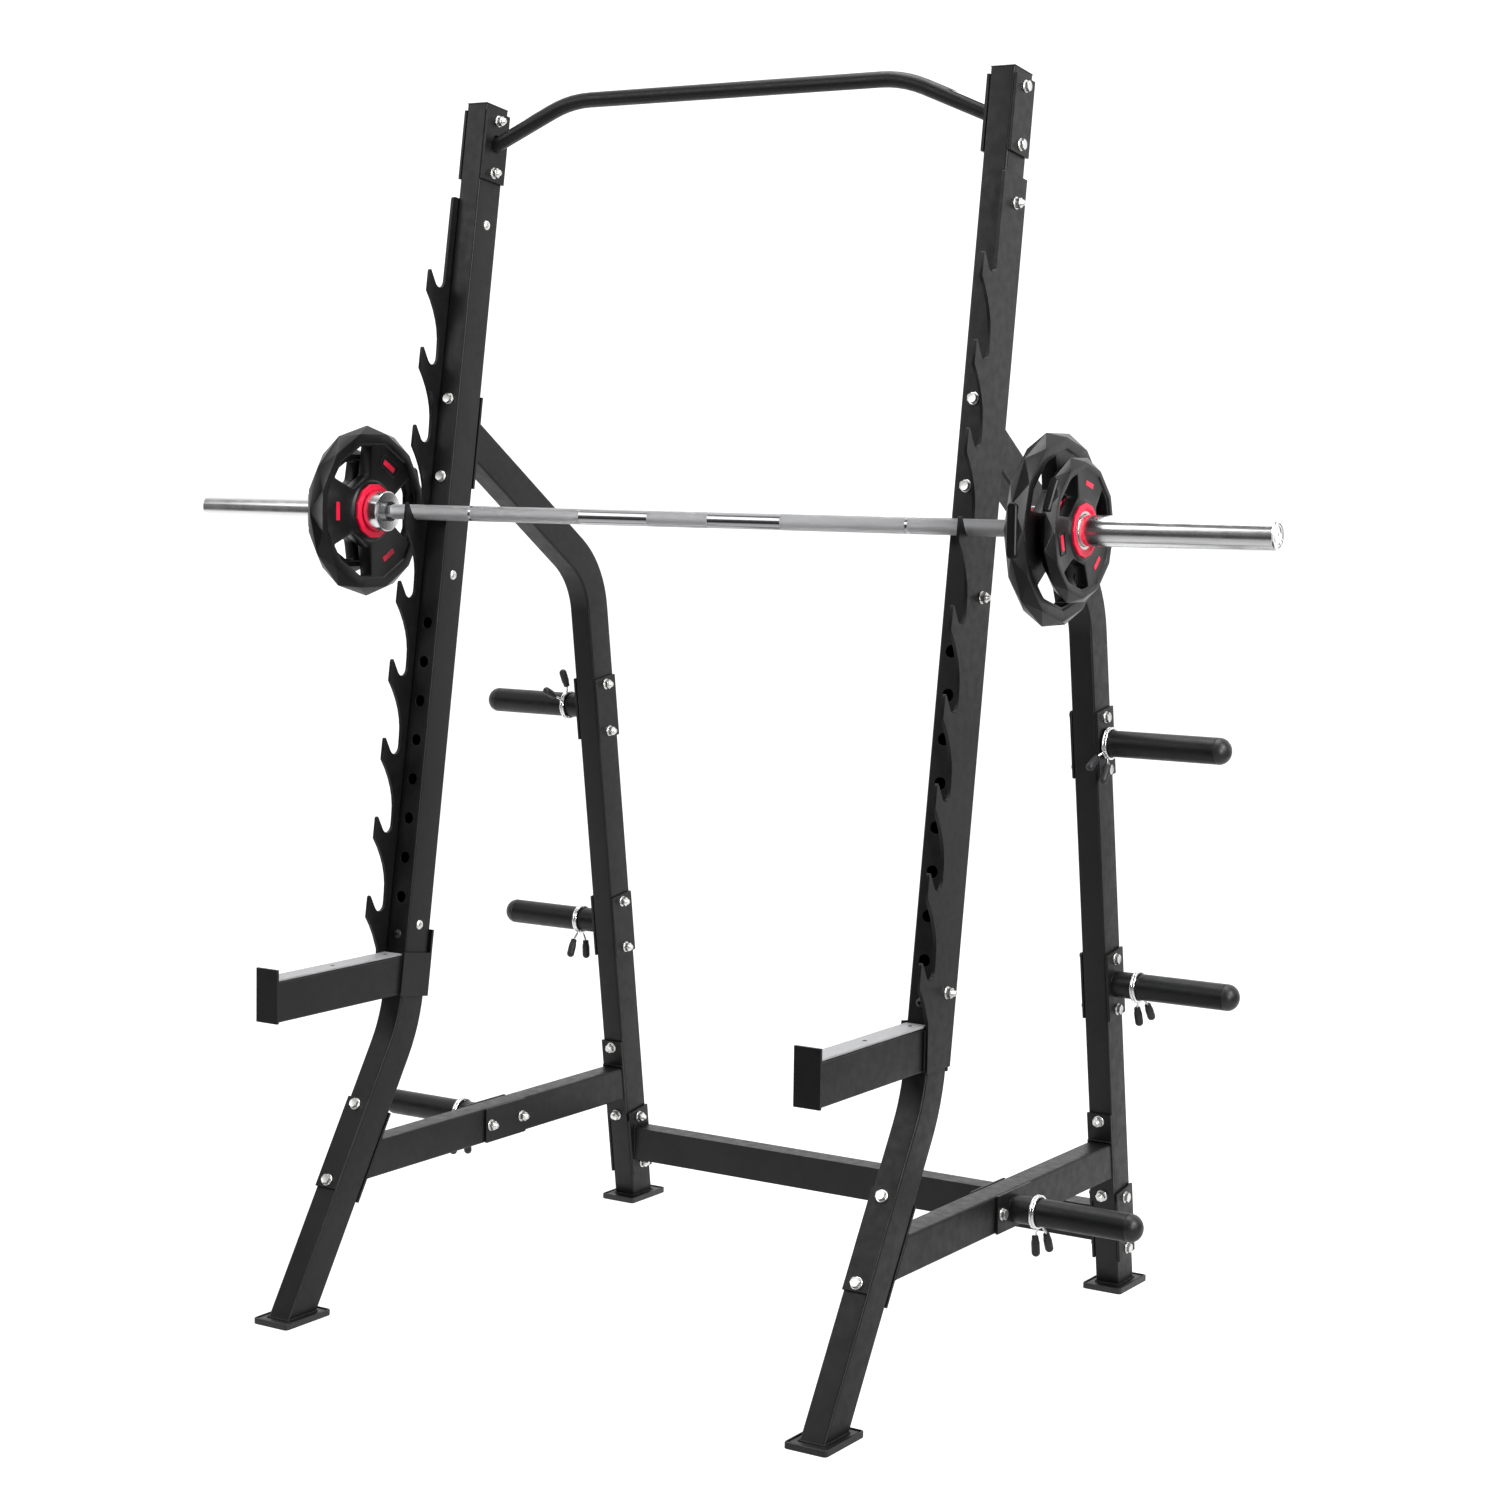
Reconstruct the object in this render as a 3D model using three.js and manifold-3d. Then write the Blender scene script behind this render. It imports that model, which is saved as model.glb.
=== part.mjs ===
// Free-standing squat rack with notched racking plates, a loaded barbell and six storage pegs.
// Millimetres, +X right, +Y back, +Z up. Every mesh is one named piece.
import * as THREE from "three";
import { mergeVertices } from "three/addons/utils/BufferGeometryUtils.js";
import Module from "manifold-3d";

const wasm = await Module();
wasm.setup();

// ---- driving dimensions -------------------------------------------------------------------
const RAD = Math.PI / 180;
const gap = 0.3;
const tube = { width: 46, depth: 66, wall: 2.5, corner: 4 };
const sideX = 549.5;
const outerX = sideX + tube.width / 2;
const innerX = sideX - tube.width / 2;
const lean = 8.06 * RAD;
const splay = 31.3 * RAD;
const rearLean = 8.4 * RAD;
const braceFall = 33.7 * RAD;
const uprightFace = { y: 16, z: 1420 };
const legFace = { y: -236, z: 300 };
const rearFace = { y: 600, z: 300 };
const braceUnder = { y: 104.4, z: 1516.5 };
const uprightTop = 769.6;
const uprightBend = 280;
const rearBend = 163;
const footTop = 9.6;
const plateT = 5;
const hook = { count: 9, pitch: 144.6, first: 433.2, reach: 61, radius: 14.6, centre: 29.3, face: 14.7 };
const hookLip = { inside: 11.6, top: 13.8, outside: 9.5 };
const hookBelly = { front: 26, drop: 99, back: 15.2, steps: 6 };
const racking = { thick: 6, top: 593, frontEdge: 14, lowZ: 541, lowY: -119, seamZ: 624 };
const holes = { count: 8, firstZ: 1220, pitch: 72.3, radius: 10.5 };
const arm = { front: -444, low: 542.5, high: 614.5, lipLow: 541, lipHigh: 636, lipWidth: 48, inset: 0.5 };
const armCheek = { low: 536, high: 615, front: 8 };
const armBack = { z: 597, length: 122 };
const liner = { thick: 3, width: 40, back: 6 };
const footPlate = { x: 66, y: 104, down: 2.5 };
const shoe = { x: 78, y: 118, high: 11, floor: 4, rim: 3 };
const base = { low: 218, high: 284 };
const cross = { low: 88, high: 154 };
const pullup = { radius: 14, up: 697, plateUp: 694, rise: 72, forward: 2, bendX: 350, soft: 45 };
const peg = { radius: 24, wall: 3, tip: 817, cap: 25, spigot: 12, upperZ: 1021, lowerZ: 574, baseY: 205 };
const bar = { half: 1100, collar: 655, radius: 14, sleeveR: 25, flangeR: 37, flangeT: 30, coreR: 12.5 };
// How far to the right of the rack's middle the bar lies in its hooks.
const barOff = 12;
const barHub = { radius: 18.5, thick: 6 };
const barEnd = { inset: 14, recessR: 19, recess: 4, chamfer: 2 };
const longPlate = { length: 172, width: 48 };
const pegPlate = 125;
const pullupPlate = 130;
const crossPlate = 132;
const shinPlate = { thick: 4, z: 291 };
const braceTop = 143;
const rearPlateZ = 254.5;

// ---- materials ----------------------------------------------------------------------------
const paint = new THREE.MeshStandardMaterial({ color: 0x1b1c1e, metalness: 0.2, roughness: 0.6 });
const plastic = new THREE.MeshStandardMaterial({ color: 0x121212, roughness: 0.55 });
const linerGrey = new THREE.MeshStandardMaterial({ color: 0x8d8d8f, roughness: 0.6 });
const chrome = new THREE.MeshStandardMaterial({ color: 0xd8dade, metalness: 1, roughness: 0.15 });
const rubber = new THREE.MeshStandardMaterial({ color: 0x1a1a1b, roughness: 0.8 });

const rack = new THREE.Group();

// ---- solids -------------------------------------------------------------------------------
// A closed three.js geometry as a manifold solid.
function solid(geometry) {
  const plain = geometry.clone();
  plain.deleteAttribute("normal");
  plain.deleteAttribute("uv");
  const merged = mergeVertices(plain, 1e-4);
  const mesh = new wasm.Mesh({
    numProp: 3,
    vertProperties: merged.attributes.position.array,
    triVerts: new Uint32Array(merged.index.array),
  });
  return new wasm.Manifold(mesh);
}

// A manifold solid back as a three.js geometry.
function geometryOf(body) {
  const mesh = body.getMesh();
  const geometry = new THREE.BufferGeometry();
  geometry.setAttribute("position", new THREE.BufferAttribute(new Float32Array(mesh.vertProperties), 3));
  geometry.setIndex(new THREE.BufferAttribute(new Uint32Array(mesh.triVerts), 1));
  geometry.computeVertexNormals();
  return geometry;
}

// Adds one named piece to the rack.
function piece(name, body, material) {
  const mesh = new THREE.Mesh(geometryOf(body), material);
  mesh.name = name;
  rack.add(mesh);
}

// A box with its centre and size; tilt turns it about its own X axis.
function box(centre, size, tilt = 0) {
  const geometry = new THREE.BoxGeometry(...size);
  geometry.rotateX(tilt);
  geometry.translate(...centre);
  return solid(geometry);
}

// A round bar along X from x1 to x2.
function rodX(x1, x2, y, z, radius, sides = 24) {
  const geometry = new THREE.CylinderGeometry(radius, radius, Math.abs(x2 - x1), sides);
  geometry.rotateZ(Math.PI / 2);
  geometry.translate((x1 + x2) / 2, y, z);
  return solid(geometry);
}

// A round bar between two points.
function rodBetween(a, b, radius, sides = 10) {
  const from = new THREE.Vector3(...a);
  const to = new THREE.Vector3(...b);
  const along = to.clone().sub(from);
  const geometry = new THREE.CylinderGeometry(radius, radius, along.length(), sides);
  const axis = along.clone().normalize();
  const turn = new THREE.Quaternion().setFromUnitVectors(new THREE.Vector3(0, 1, 0), axis);
  geometry.applyQuaternion(turn);
  geometry.translate(...from.add(to).multiplyScalar(0.5).toArray());
  return solid(geometry);
}

// A body turned about the X axis line through y, z: profile points are [x, radius]. The turn sets
// where its facets' corners are.
function turnedX(profile, y, z, sides = 24, turn = 0) {
  const geometry = new THREE.LatheGeometry(
    profile.map(([x, r]) => new THREE.Vector2(r, x)),
    sides,
  );
  geometry.rotateZ(-Math.PI / 2);
  geometry.rotateX(turn);
  geometry.translate(0, y, z);
  const body = solid(geometry);
  return body.volume() < 0 ? solid(flipped(geometry)) : body;
}

// The same geometry with every triangle turned round.
function flipped(geometry) {
  const copy = geometry.index ? geometry.toNonIndexed() : geometry.clone();
  const p = copy.attributes.position;
  const moved = new Float32Array(p.array.length);
  for (let i = 0; i < p.count; i += 3) {
    [0, 2, 1].forEach((from, to) => {
      moved.set(p.array.subarray((i + from) * 3, (i + from) * 3 + 3), (i + to) * 3);
    });
  }
  return new THREE.BufferGeometry().setAttribute("position", new THREE.BufferAttribute(moved, 3));
}

// A flat plate whose outline lies in the Y-Z plane, from x to x + thick.
function sidePlate(outline, x, thick) {
  const shape = new THREE.Shape(outline.map(([y, z]) => new THREE.Vector2(y, z)));
  const geometry = new THREE.ExtrudeGeometry(shape, { depth: thick, bevelEnabled: false });
  const cycle = new THREE.Matrix4().set(0, 0, 1, x, 1, 0, 0, 0, 0, 1, 0, 0, 0, 0, 0, 1);
  geometry.applyMatrix4(cycle);
  return solid(geometry);
}

function union(...bodies) {
  return bodies.reduce((sum, body) => sum.add(body));
}

// ---- bent rectangular tube ----------------------------------------------------------------
// Rounded rectangle, counter-clockwise, as [across, forward] pairs.
function roundedRectangle(width, depth, corner, steps = 2) {
  const points = [];
  const centres = [[1, 1], [-1, 1], [-1, -1], [1, -1]];
  centres.forEach(([sx, sy], quarter) => {
    for (let i = 0; i <= steps; i++) {
      const angle = (quarter + i / steps) * 90 * RAD;
      points.push([
        sx * (width / 2 - corner) + corner * Math.cos(angle),
        sy * (depth / 2 - corner) + corner * Math.sin(angle),
      ]);
    }
  });
  return points;
}

function unit(from, to) {
  const length = Math.hypot(to[0] - from[0], to[1] - from[1]);
  return [(to[0] - from[0]) / length, (to[1] - from[1]) / length];
}

// The side of a direction that faces the front of the rack when the direction runs up.
function frontOf([dy, dz]) {
  return [-dz, dy];
}

// Offset vector for an end cut along the direction cut.
function mitre(normal, cut) {
  const share = cut[0] * normal[0] + cut[1] * normal[1];
  return [cut[0] / share, cut[1] / share];
}

// Stations of a path start, vertex, end with a round bend at the vertex.
function bentStations(start, vertex, end, radius, startCut, endCut, steps) {
  const d1 = unit(start, vertex);
  const d2 = unit(vertex, end);
  const turn = Math.atan2(d1[0] * d2[1] - d1[1] * d2[0], d1[0] * d2[0] + d1[1] * d2[1]);
  const tangent = radius * Math.tan(Math.abs(turn) / 2);
  const side = Math.sign(turn);
  const n1 = frontOf(d1);
  const into = [vertex[0] - d1[0] * tangent, vertex[1] - d1[1] * tangent];
  const centre = [into[0] + n1[0] * radius * side, into[1] + n1[1] * radius * side];
  const stations = [{ at: start, out: mitre(n1, startCut) }];
  for (let i = 0; i <= steps; i++) {
    const a = (turn * i) / steps;
    const n = [n1[0] * Math.cos(a) - n1[1] * Math.sin(a), n1[0] * Math.sin(a) + n1[1] * Math.cos(a)];
    stations.push({ at: [centre[0] - n[0] * radius * side, centre[1] - n[1] * radius * side], out: n });
  }
  stations.push({ at: end, out: mitre(frontOf(d2), endCut) });
  return stations;
}

function straightStations(start, end, startCut, endCut) {
  const n = frontOf(unit(start, end));
  return [{ at: start, out: mitre(n, startCut) }, { at: end, out: mitre(n, endCut) }];
}

// Sweeps a hollow tube with its middle at x through the stations.
function sweptTube(stations, x, outer, inner) {
  const count = outer.length;
  const position = [];
  const index = [];
  stations.forEach(({ at, out }) => {
    [outer, inner].forEach((ring) => {
      ring.forEach(([a, b]) => position.push(x + a, at[0] + out[0] * b, at[1] + out[1] * b));
    });
  });
  const quad = (a, b, c, d) => index.push(a, b, c, a, c, d);
  const last = stations.length - 1;
  for (let k = 0; k < count; k++) {
    const next = (k + 1) % count;
    for (let s = 0; s < last; s++) {
      const low = s * 2 * count;
      const high = low + 2 * count;
      quad(low + k, low + next, high + next, high + k);
      quad(low + count + next, low + count + k, high + count + k, high + count + next);
    }
    const top = last * 2 * count;
    quad(k, count + k, count + next, next);
    quad(top + next, top + count + next, top + count + k, top + k);
  }
  const geometry = new THREE.BufferGeometry();
  geometry.setAttribute("position", new THREE.BufferAttribute(new Float32Array(position), 3));
  geometry.setIndex(index);
  const body = solid(geometry);
  return body.volume() < 0 ? solid(flipped(geometry)) : body;
}

// A rectangular tube of the rack's stock, with another height if one is given.
function stockTube(stations, x, width = tube.width, depth = tube.depth) {
  const outer = roundedRectangle(width, depth, tube.corner);
  const w = tube.wall;
  const inner = roundedRectangle(width - 2 * w, depth - 2 * w, tube.corner - w);
  return sweptTube(stations, x, outer, inner);
}

// ---- places along the frame ---------------------------------------------------------------
const slopeUp = [Math.sin(lean), Math.cos(lean)];
const slopeOut = [-Math.cos(lean), Math.sin(lean)];
const legUp = [Math.sin(splay), Math.cos(splay)];
const legOut = [-Math.cos(splay), Math.sin(splay)];
const rearUp = [-Math.sin(rearLean), Math.cos(rearLean)];
const rearOut = [-Math.cos(rearLean), -Math.sin(rearLean)];
const braceUp = [-Math.cos(braceFall), Math.sin(braceFall)];
const braceOut = [-Math.sin(braceFall), -Math.cos(braceFall)];

// A point at the distance out in front of the upright's face and up along its slope.
function onUpright(out, up) {
  return [
    uprightFace.y + out * slopeOut[0] + up * slopeUp[0],
    uprightFace.z + out * slopeOut[1] + up * slopeUp[1],
  ];
}

// A point on a leaning member given the height of its face line and the distance out from it.
function onMember(face, up, outward, z, out) {
  const s = (z - face.z) / up[1];
  return [face.y + up[0] * s + outward[0] * out, z + outward[1] * out];
}

const half = tube.depth / 2;
const onLeg = (z, out) => onMember(legFace, legUp, legOut, z, out);
const onRear = (z, out) => onMember(rearFace, rearUp, rearOut, z, out);
// The height along the upright at which its centre line is at z.
const uprightAt = (z) => (z - uprightFace.z + half * slopeOut[1]) / slopeUp[1];

// Where two lines meet, each a point and a direction.
function meet(p, d, q, e) {
  const spread = d[0] * e[1] - d[1] * e[0];
  const t = ((q[0] - p[0]) * e[1] - (q[1] - p[1]) * e[0]) / spread;
  return [p[0] + d[0] * t, p[1] + d[1] * t];
}

// The point of a line at height z.
function atHeight(p, d, z) {
  return [p[0] + (d[0] * (z - p[1])) / d[1], z];
}

const level = [-1, 0];
const uprightMid = onUpright(-half, 0);
const legMid = onLeg(300, -half);
const rearMid = onRear(300, -half);
const braceMid = [braceUnder.y - braceOut[0] * half, braceUnder.z - braceOut[1] * half];

// A flat end plate lying on a face that runs along up, at the distance out from the face line.
function facePlate(x, middle, up, outward, thick, length, width) {
  const tilt = Math.atan2(-up[0], up[1]);
  const centre = [middle[0] + (outward[0] * thick) / 2, middle[1] + (outward[1] * thick) / 2];
  return box([x, ...centre], [width, thick, length], tilt);
}

// The bolted plate on the end of a brace or a base tube.
function endPlate(x, middle, up, outward) {
  return facePlate(x, middle, up, outward, plateT, longPlate.length, longPlate.width);
}

// A flat plate lying against the side of a member, its thickness along X.
function cheek(x, middle, up, thick, length, width) {
  return box([x, ...middle], [thick, width, length], Math.atan2(-up[0], up[1]));
}

// The flat plate welded under a leg, which sits in its shoe.
function footOf(x, y) {
  return box([x, y, footTop - footPlate.down], [footPlate.x, footPlate.y, plateT]);
}

// ---- frame pieces -------------------------------------------------------------------------
// Upright and front leg are one bent tube with a foot plate and eight holes in its front wall.
function upright(side) {
  const x = side * sideX;
  const start = atHeight(legMid, legUp, footTop - 1);
  const bend = meet(legMid, legUp, uprightMid, slopeUp);
  const end = onUpright(-half, uprightTop);
  const path = bentStations(start, bend, end, uprightBend, level, slopeOut, 6);
  const foot = footOf(x, start[0]);
  const cutters = [];
  for (let i = 0; i < holes.count; i++) {
    const z = holes.firstZ - i * holes.pitch * slopeUp[1];
    const s = (z - uprightFace.z) / slopeUp[1];
    cutters.push(rodBetween([x, ...onUpright(6, s)], [x, ...onUpright(-12, s)], holes.radius, 16));
  }
  return union(stockTube(path, x), foot).subtract(union(...cutters));
}

// Rear leg and brace are one bent tube with a foot plate and a top plate behind the upright.
function rearLeg(side) {
  const x = side * sideX;
  const start = atHeight(rearMid, rearUp, footTop - 1);
  const bend = meet(rearMid, rearUp, braceMid, braceUp);
  const back = onUpright(-tube.depth - gap - plateT + 1, 0);
  const end = meet(braceMid, braceUp, back, slopeUp);
  const path = bentStations(start, bend, end, rearBend, level, slopeUp, 9);
  const foot = footOf(x, start[0]);
  const drain = rodBetween([x, start[0], 0], [x, start[0], 20], 6, 12);
  const middle = onUpright(-tube.depth - gap, braceTop);
  const top = endPlate(x, middle, slopeUp, [-slopeOut[0], -slopeOut[1]]);
  return union(stockTube(path, x), foot, top).subtract(drain);
}

// The low tube between front leg and rear leg, with a bolted plate on each end.
function sideBaseTube(side) {
  const x = side * sideX;
  const z = (base.low + base.high) / 2;
  const legBack = onLeg(shinPlate.z, -tube.depth - gap);
  const rearFront = onRear(rearPlateZ, gap);
  const from = meet([0, z], [1, 0], legBack, legUp);
  const to = meet([0, z], [1, 0], rearFront, rearUp);
  const path = straightStations([from[0] + 3, z], [to[0] - 3, z], legUp, rearUp);
  const front = endPlate(x, legBack, legUp, [-legOut[0], -legOut[1]]);
  const back = endPlate(x, rearFront, rearUp, rearOut);
  const vent = rodBetween([x, from[0] - 20, z], [x, from[0] + 20, z], 8, 12);
  return union(stockTube(path, x), front, back).subtract(vent);
}

// The low tube across the back, with a plate on each end that bolts to the rear leg's inner side.
function rearCrossmember() {
  const z = (cross.low + cross.high) / 2;
  const middle = onRear(z, -half);
  const reach = innerX - gap - plateT;
  const w = tube.wall;
  const outer = box([0, middle[0], z], [2 * reach + 4, tube.width, cross.high - cross.low]);
  const inner = box([0, middle[0], z], [2 * innerX + 9, tube.width - 2 * w, cross.high - cross.low - 2 * w]);
  const ends = [-1, 1].map((side) => {
    return cheek(side * (reach + plateT / 2), middle, rearUp, plateT, crossPlate, tube.depth);
  });
  const windows = [-1, 1].map((side) => rodX(side * (reach - 9), side * (reach + 9), middle[0], z, 12, 16));
  const hollow = inner.subtract(union(...ends));
  return union(outer, ...ends).subtract(hollow).subtract(union(...windows));
}

// A flat plate on the outer side of the upright with nine hooks along its front edge.
function rackingOutline() {
  const top = racking.top;
  const points = [[-tube.depth, top], [racking.frontEdge - 5, top], [racking.frontEdge - 1.5, top - 1.5]];
  points.push([racking.frontEdge, top - 5]);
  for (let i = 0; i < hook.count; i++) {
    const s = hook.first - i * hook.pitch;
    points.push([hook.face, s + 6]);
    for (let k = 0; k <= 7; k++) {
      const a = (190 + 19 * k) * RAD;
      points.push([hook.centre + hook.radius * Math.cos(a), s + hook.radius * Math.sin(a)]);
    }
    points.push([hook.reach - 5, s + hookLip.inside], [hook.reach - 3, s + hookLip.top]);
    points.push([hook.reach - 0.8, s + hookLip.top - 1.2], [hook.reach, s + hookLip.outside]);
    points.push([hook.reach, s - hookBelly.front]);
    const last = i === hook.count - 1;
    for (let k = 1; k <= (last ? hookBelly.steps / 2 : hookBelly.steps); k++) {
      const u = 1 - k / hookBelly.steps;
      const out = hookBelly.back + (hook.reach - hookBelly.back) * u * u;
      points.push([out, s - hookBelly.front - hookBelly.drop * (1 - u)]);
    }
  }
  return points.map(([out, up]) => onUpright(out, up));
}

function rackingPlate(side) {
  const outline = rackingOutline();
  const back = onUpright(-tube.depth, uprightAt(racking.lowZ + 4));
  outline.push([racking.lowY, racking.seamZ], [racking.lowY, racking.lowZ], [back[0], racking.lowZ]);
  const x = side > 0 ? outerX + gap : -outerX - gap - racking.thick;
  return sidePlate(outline, x, racking.thick);
}

// Fixed safety arm: a level tube, a raised end plate, a side plate and a back plate round the upright.
function safetyArm(side) {
  const x = side * (sideX - arm.inset);
  const height = arm.high - arm.low;
  const z = (arm.high + arm.low) / 2;
  const against = onUpright(gap, 0);
  const end = meet([0, z], [1, 0], against, slopeUp);
  const path = straightStations([arm.front + 2, z], end, [0, 1], slopeUp);
  const lipSize = [arm.lipWidth, plateT, arm.lipHigh - arm.lipLow];
  const lip = box([x, arm.front + plateT / 2, (arm.lipLow + arm.lipHigh) / 2], lipSize);
  const cheekX = side * (innerX - gap - plateT / 2);
  const low = uprightAt(armCheek.low);
  const high = uprightAt(armCheek.high);
  const rear = -tube.depth - gap - plateT;
  const corners = [[rear, low], [armCheek.front, low], [armCheek.front, high], [rear, high]];
  const outline = corners.map(([out, up]) => onUpright(out, up));
  const inside = sidePlate(outline, cheekX - plateT / 2, plateT);
  const middle = onUpright(-tube.depth - gap, uprightAt(armBack.z));
  const reach = innerX - gap - plateT;
  const width = outerX - reach;
  const backX = side * (reach + width / 2);
  const away = [-slopeOut[0], -slopeOut[1]];
  const behind = facePlate(backX, middle, slopeUp, away, plateT, armBack.length, width);
  return union(stockTube(path, x, tube.width, height), lip, inside, behind);
}

function safetyLiner(side) {
  const rear = onUpright(gap, uprightAt(arm.high))[0] - liner.back;
  const front = arm.front + plateT + gap;
  const middle = [side * (sideX - arm.inset), (front + rear) / 2, arm.high + gap + liner.thick / 2];
  return box(middle, [liner.width, rear - front, liner.thick]);
}

// A plate whose bolts pull a joint together, on the outer side or the front of a member.
function backingPlates() {
  [-1, 1].forEach((side) => {
    const name = side < 0 ? "left" : "right";
    const x = side * (outerX + gap + plateT / 2);
    const top = onUpright(-half, pullup.plateUp);
    piece(`pullup_backing_plate_${name}`, cheek(x, top, slopeUp, plateT, pullupPlate, tube.depth), paint);
    const low = onRear((cross.low + cross.high) / 2, -half);
    piece(`cross_backing_plate_${name}`, cheek(x, low, rearUp, plateT, crossPlate, tube.depth), paint);
    const shin = onLeg(shinPlate.z, gap);
    const { thick } = shinPlate;
    const cover = facePlate(side * sideX, shin, legUp, legOut, thick, longPlate.length, tube.width);
    piece(`leg_backing_plate_${name}`, cover, paint);
  });
}

// ---- pull-up bar --------------------------------------------------------------------------
// The bar rises from its ends to a level middle, with a soft bend at each side.
function pullUpPath(reach) {
  const [endY, endZ] = onUpright(-half, pullup.up);
  const place = (x, rise) => new THREE.Vector3(x, endY - pullup.forward * rise, endZ + pullup.rise * rise);
  const corner = place(pullup.bendX, 1);
  const end = place(reach, 0);
  const soft = end.clone().sub(corner).setLength(pullup.soft).add(corner);
  const bend = new THREE.QuadraticBezierCurve3(soft, corner, place(pullup.bendX - pullup.soft, 1));
  const right = [end, ...bend.getPoints(5)];
  const left = right.map((p) => new THREE.Vector3(-p.x, p.y, p.z)).reverse();
  return [...right, ...left];
}

// Sweeps a round bar through points in a plane that holds the X direction. Its ends are cut upright.
function roundSweep(points, radius, sides = 14) {
  const position = [];
  const index = [];
  points.forEach((p, i) => {
    const before = points[Math.max(0, i - 1)];
    const after = points[Math.min(points.length - 1, i + 1)];
    const along = after.clone().sub(before).normalize();
    const across = new THREE.Vector3(0, 1, 0).addScaledVector(along, -along.y).normalize();
    const atEnd = i === 0 || i === points.length - 1;
    const up = atEnd ? new THREE.Vector3(0, 0, 1 / along.x) : along.clone().cross(across);
    for (let k = 0; k < sides; k++) {
      const a = (2 * Math.PI * k) / sides;
      const q = p.clone().addScaledVector(across, radius * Math.cos(a));
      q.addScaledVector(up, radius * Math.sin(a));
      position.push(...q.toArray());
    }
  });
  const last = (points.length - 1) * sides;
  for (let k = 0; k < sides; k++) {
    const next = (k + 1) % sides;
    for (let s = 0; s < last; s += sides) {
      index.push(s + k, s + next, s + sides + next, s + k, s + sides + next, s + sides + k);
    }
    if (k > 0 && k < sides - 1) index.push(0, k + 1, k, last, last + k, last + k + 1);
  }
  const geometry = new THREE.BufferGeometry();
  geometry.setAttribute("position", new THREE.BufferAttribute(new Float32Array(position), 3));
  geometry.setIndex(index);
  const body = solid(geometry);
  return body.volume() < 0 ? solid(flipped(geometry)) : body;
}

function pullUpBar() {
  const reach = innerX - gap - plateT;
  const outer = roundSweep(pullUpPath(reach + 2), pullup.radius, 16);
  const inner = roundSweep(pullUpPath(reach + 20), pullup.radius - tube.wall, 8);
  const middle = onUpright(-half, pullup.plateUp);
  const plates = [-1, 1].map((side) => {
    return cheek(side * (reach + plateT / 2), middle, slopeUp, plateT, pullupPlate, tube.depth);
  });
  return union(outer, ...plates).subtract(inner);
}

// ---- storage pegs and their spring collars --------------------------------------------------
const pegs = [
  { name: "upper", middle: onRear(peg.upperZ + half * Math.sin(rearLean), -half), up: rearUp },
  { name: "lower", middle: onRear(peg.lowerZ + half * Math.sin(rearLean), -half), up: rearUp },
  { name: "base", middle: [peg.baseY, (base.low + base.high) / 2], up: [1, 0] },
];

function storagePeg(side, { middle, up }) {
  const root = outerX + gap;
  const capX = peg.tip - peg.cap;
  const plate = cheek(side * (root + plateT / 2), middle, up, plateT, pegPlate, tube.depth);
  const outside = rodX(side * (root + 2), side * capX, ...middle, peg.radius);
  const bore = rodX(side * (root + plateT), side * (capX + 5), ...middle, peg.radius - peg.wall);
  return union(plate, outside).subtract(bore);
}

function pegCap(side, { middle }) {
  const face = peg.tip - peg.cap + gap;
  const plugR = peg.radius - peg.wall - 0.4;
  const profile = [[face - peg.spigot, 0], [face - peg.spigot, plugR], [face, plugR], [face, peg.radius]];
  const skirt = face + 2;
  profile.push([skirt, peg.radius]);
  for (let i = 1; i <= 4; i++) {
    const a = (i * 90 * RAD) / 4;
    profile.push([skirt + (peg.tip - skirt) * Math.sin(a), i === 4 ? 0 : peg.radius * Math.cos(a)]);
  }
  return turnedX(profile.map(([x, r]) => [side * x, r]), ...middle, 16);
}

const collar = { wire: 2.4, ring: peg.radius + 3.2, handle: 7.7, grip: 7.5, stem: 44, long: 38 };

// One turn of a collar's wire round the peg, with its bent leg and rubber grip. The ring's middle
// is at ringX, the grip is at gripX, and the angle is from straight down towards the back.
function collarHalf(ringX, gripX, middle, angle) {
  const ring = new THREE.TorusGeometry(collar.ring, collar.wire, 5, 16);
  ring.rotateY(Math.PI / 2);
  ring.translate(ringX, ...middle);
  const at = (x, r) => [x, middle[0] + r * Math.sin(angle), middle[1] - r * Math.cos(angle)];
  const leg = rodBetween(at(ringX, collar.ring + 0.8), at(gripX, collar.stem + 2), collar.wire - 0.3, 6);
  const grip = rodBetween(at(gripX, collar.stem), at(gripX, collar.stem + collar.long), collar.grip, 8);
  return union(solid(ring), leg, grip);
}

// Where each collar sits along its peg and which way its two handles point.
const collars = [
  { side: 1, on: 0, x: 585, coil: -60, lever: -34 },
  { side: 1, on: 1, x: 621, coil: 20, lever: 36 },
  { side: 1, on: 2, x: 622, coil: 8, lever: 24 },
  { side: -1, on: 0, x: 617, coil: 207, lever: 245 },
  { side: -1, on: 1, x: 628, coil: 4, lever: -22 },
  { side: -1, on: 2, x: 630, coil: 6, lever: -14 },
];

// ---- barbell ------------------------------------------------------------------------------
const barRest = onUpright(hook.centre, hook.first - 3 * hook.pitch - (hook.radius - bar.radius) + gap);

function barShaft() {
  const end = bar.half - barEnd.inset;
  const hub = bar.collar - barHub.thick;
  const profile = [[-end, 0], [-end, bar.coreR], [-bar.collar, bar.coreR], [-bar.collar, barHub.radius]];
  profile.push([-hub, barHub.radius], [-hub, bar.radius]);
  const mirrored = profile.map(([x, r]) => [-x, r]).reverse();
  return turnedX([...profile, ...mirrored].map(([x, r]) => [x + barOff, r]), ...barRest, 32);
}

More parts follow.
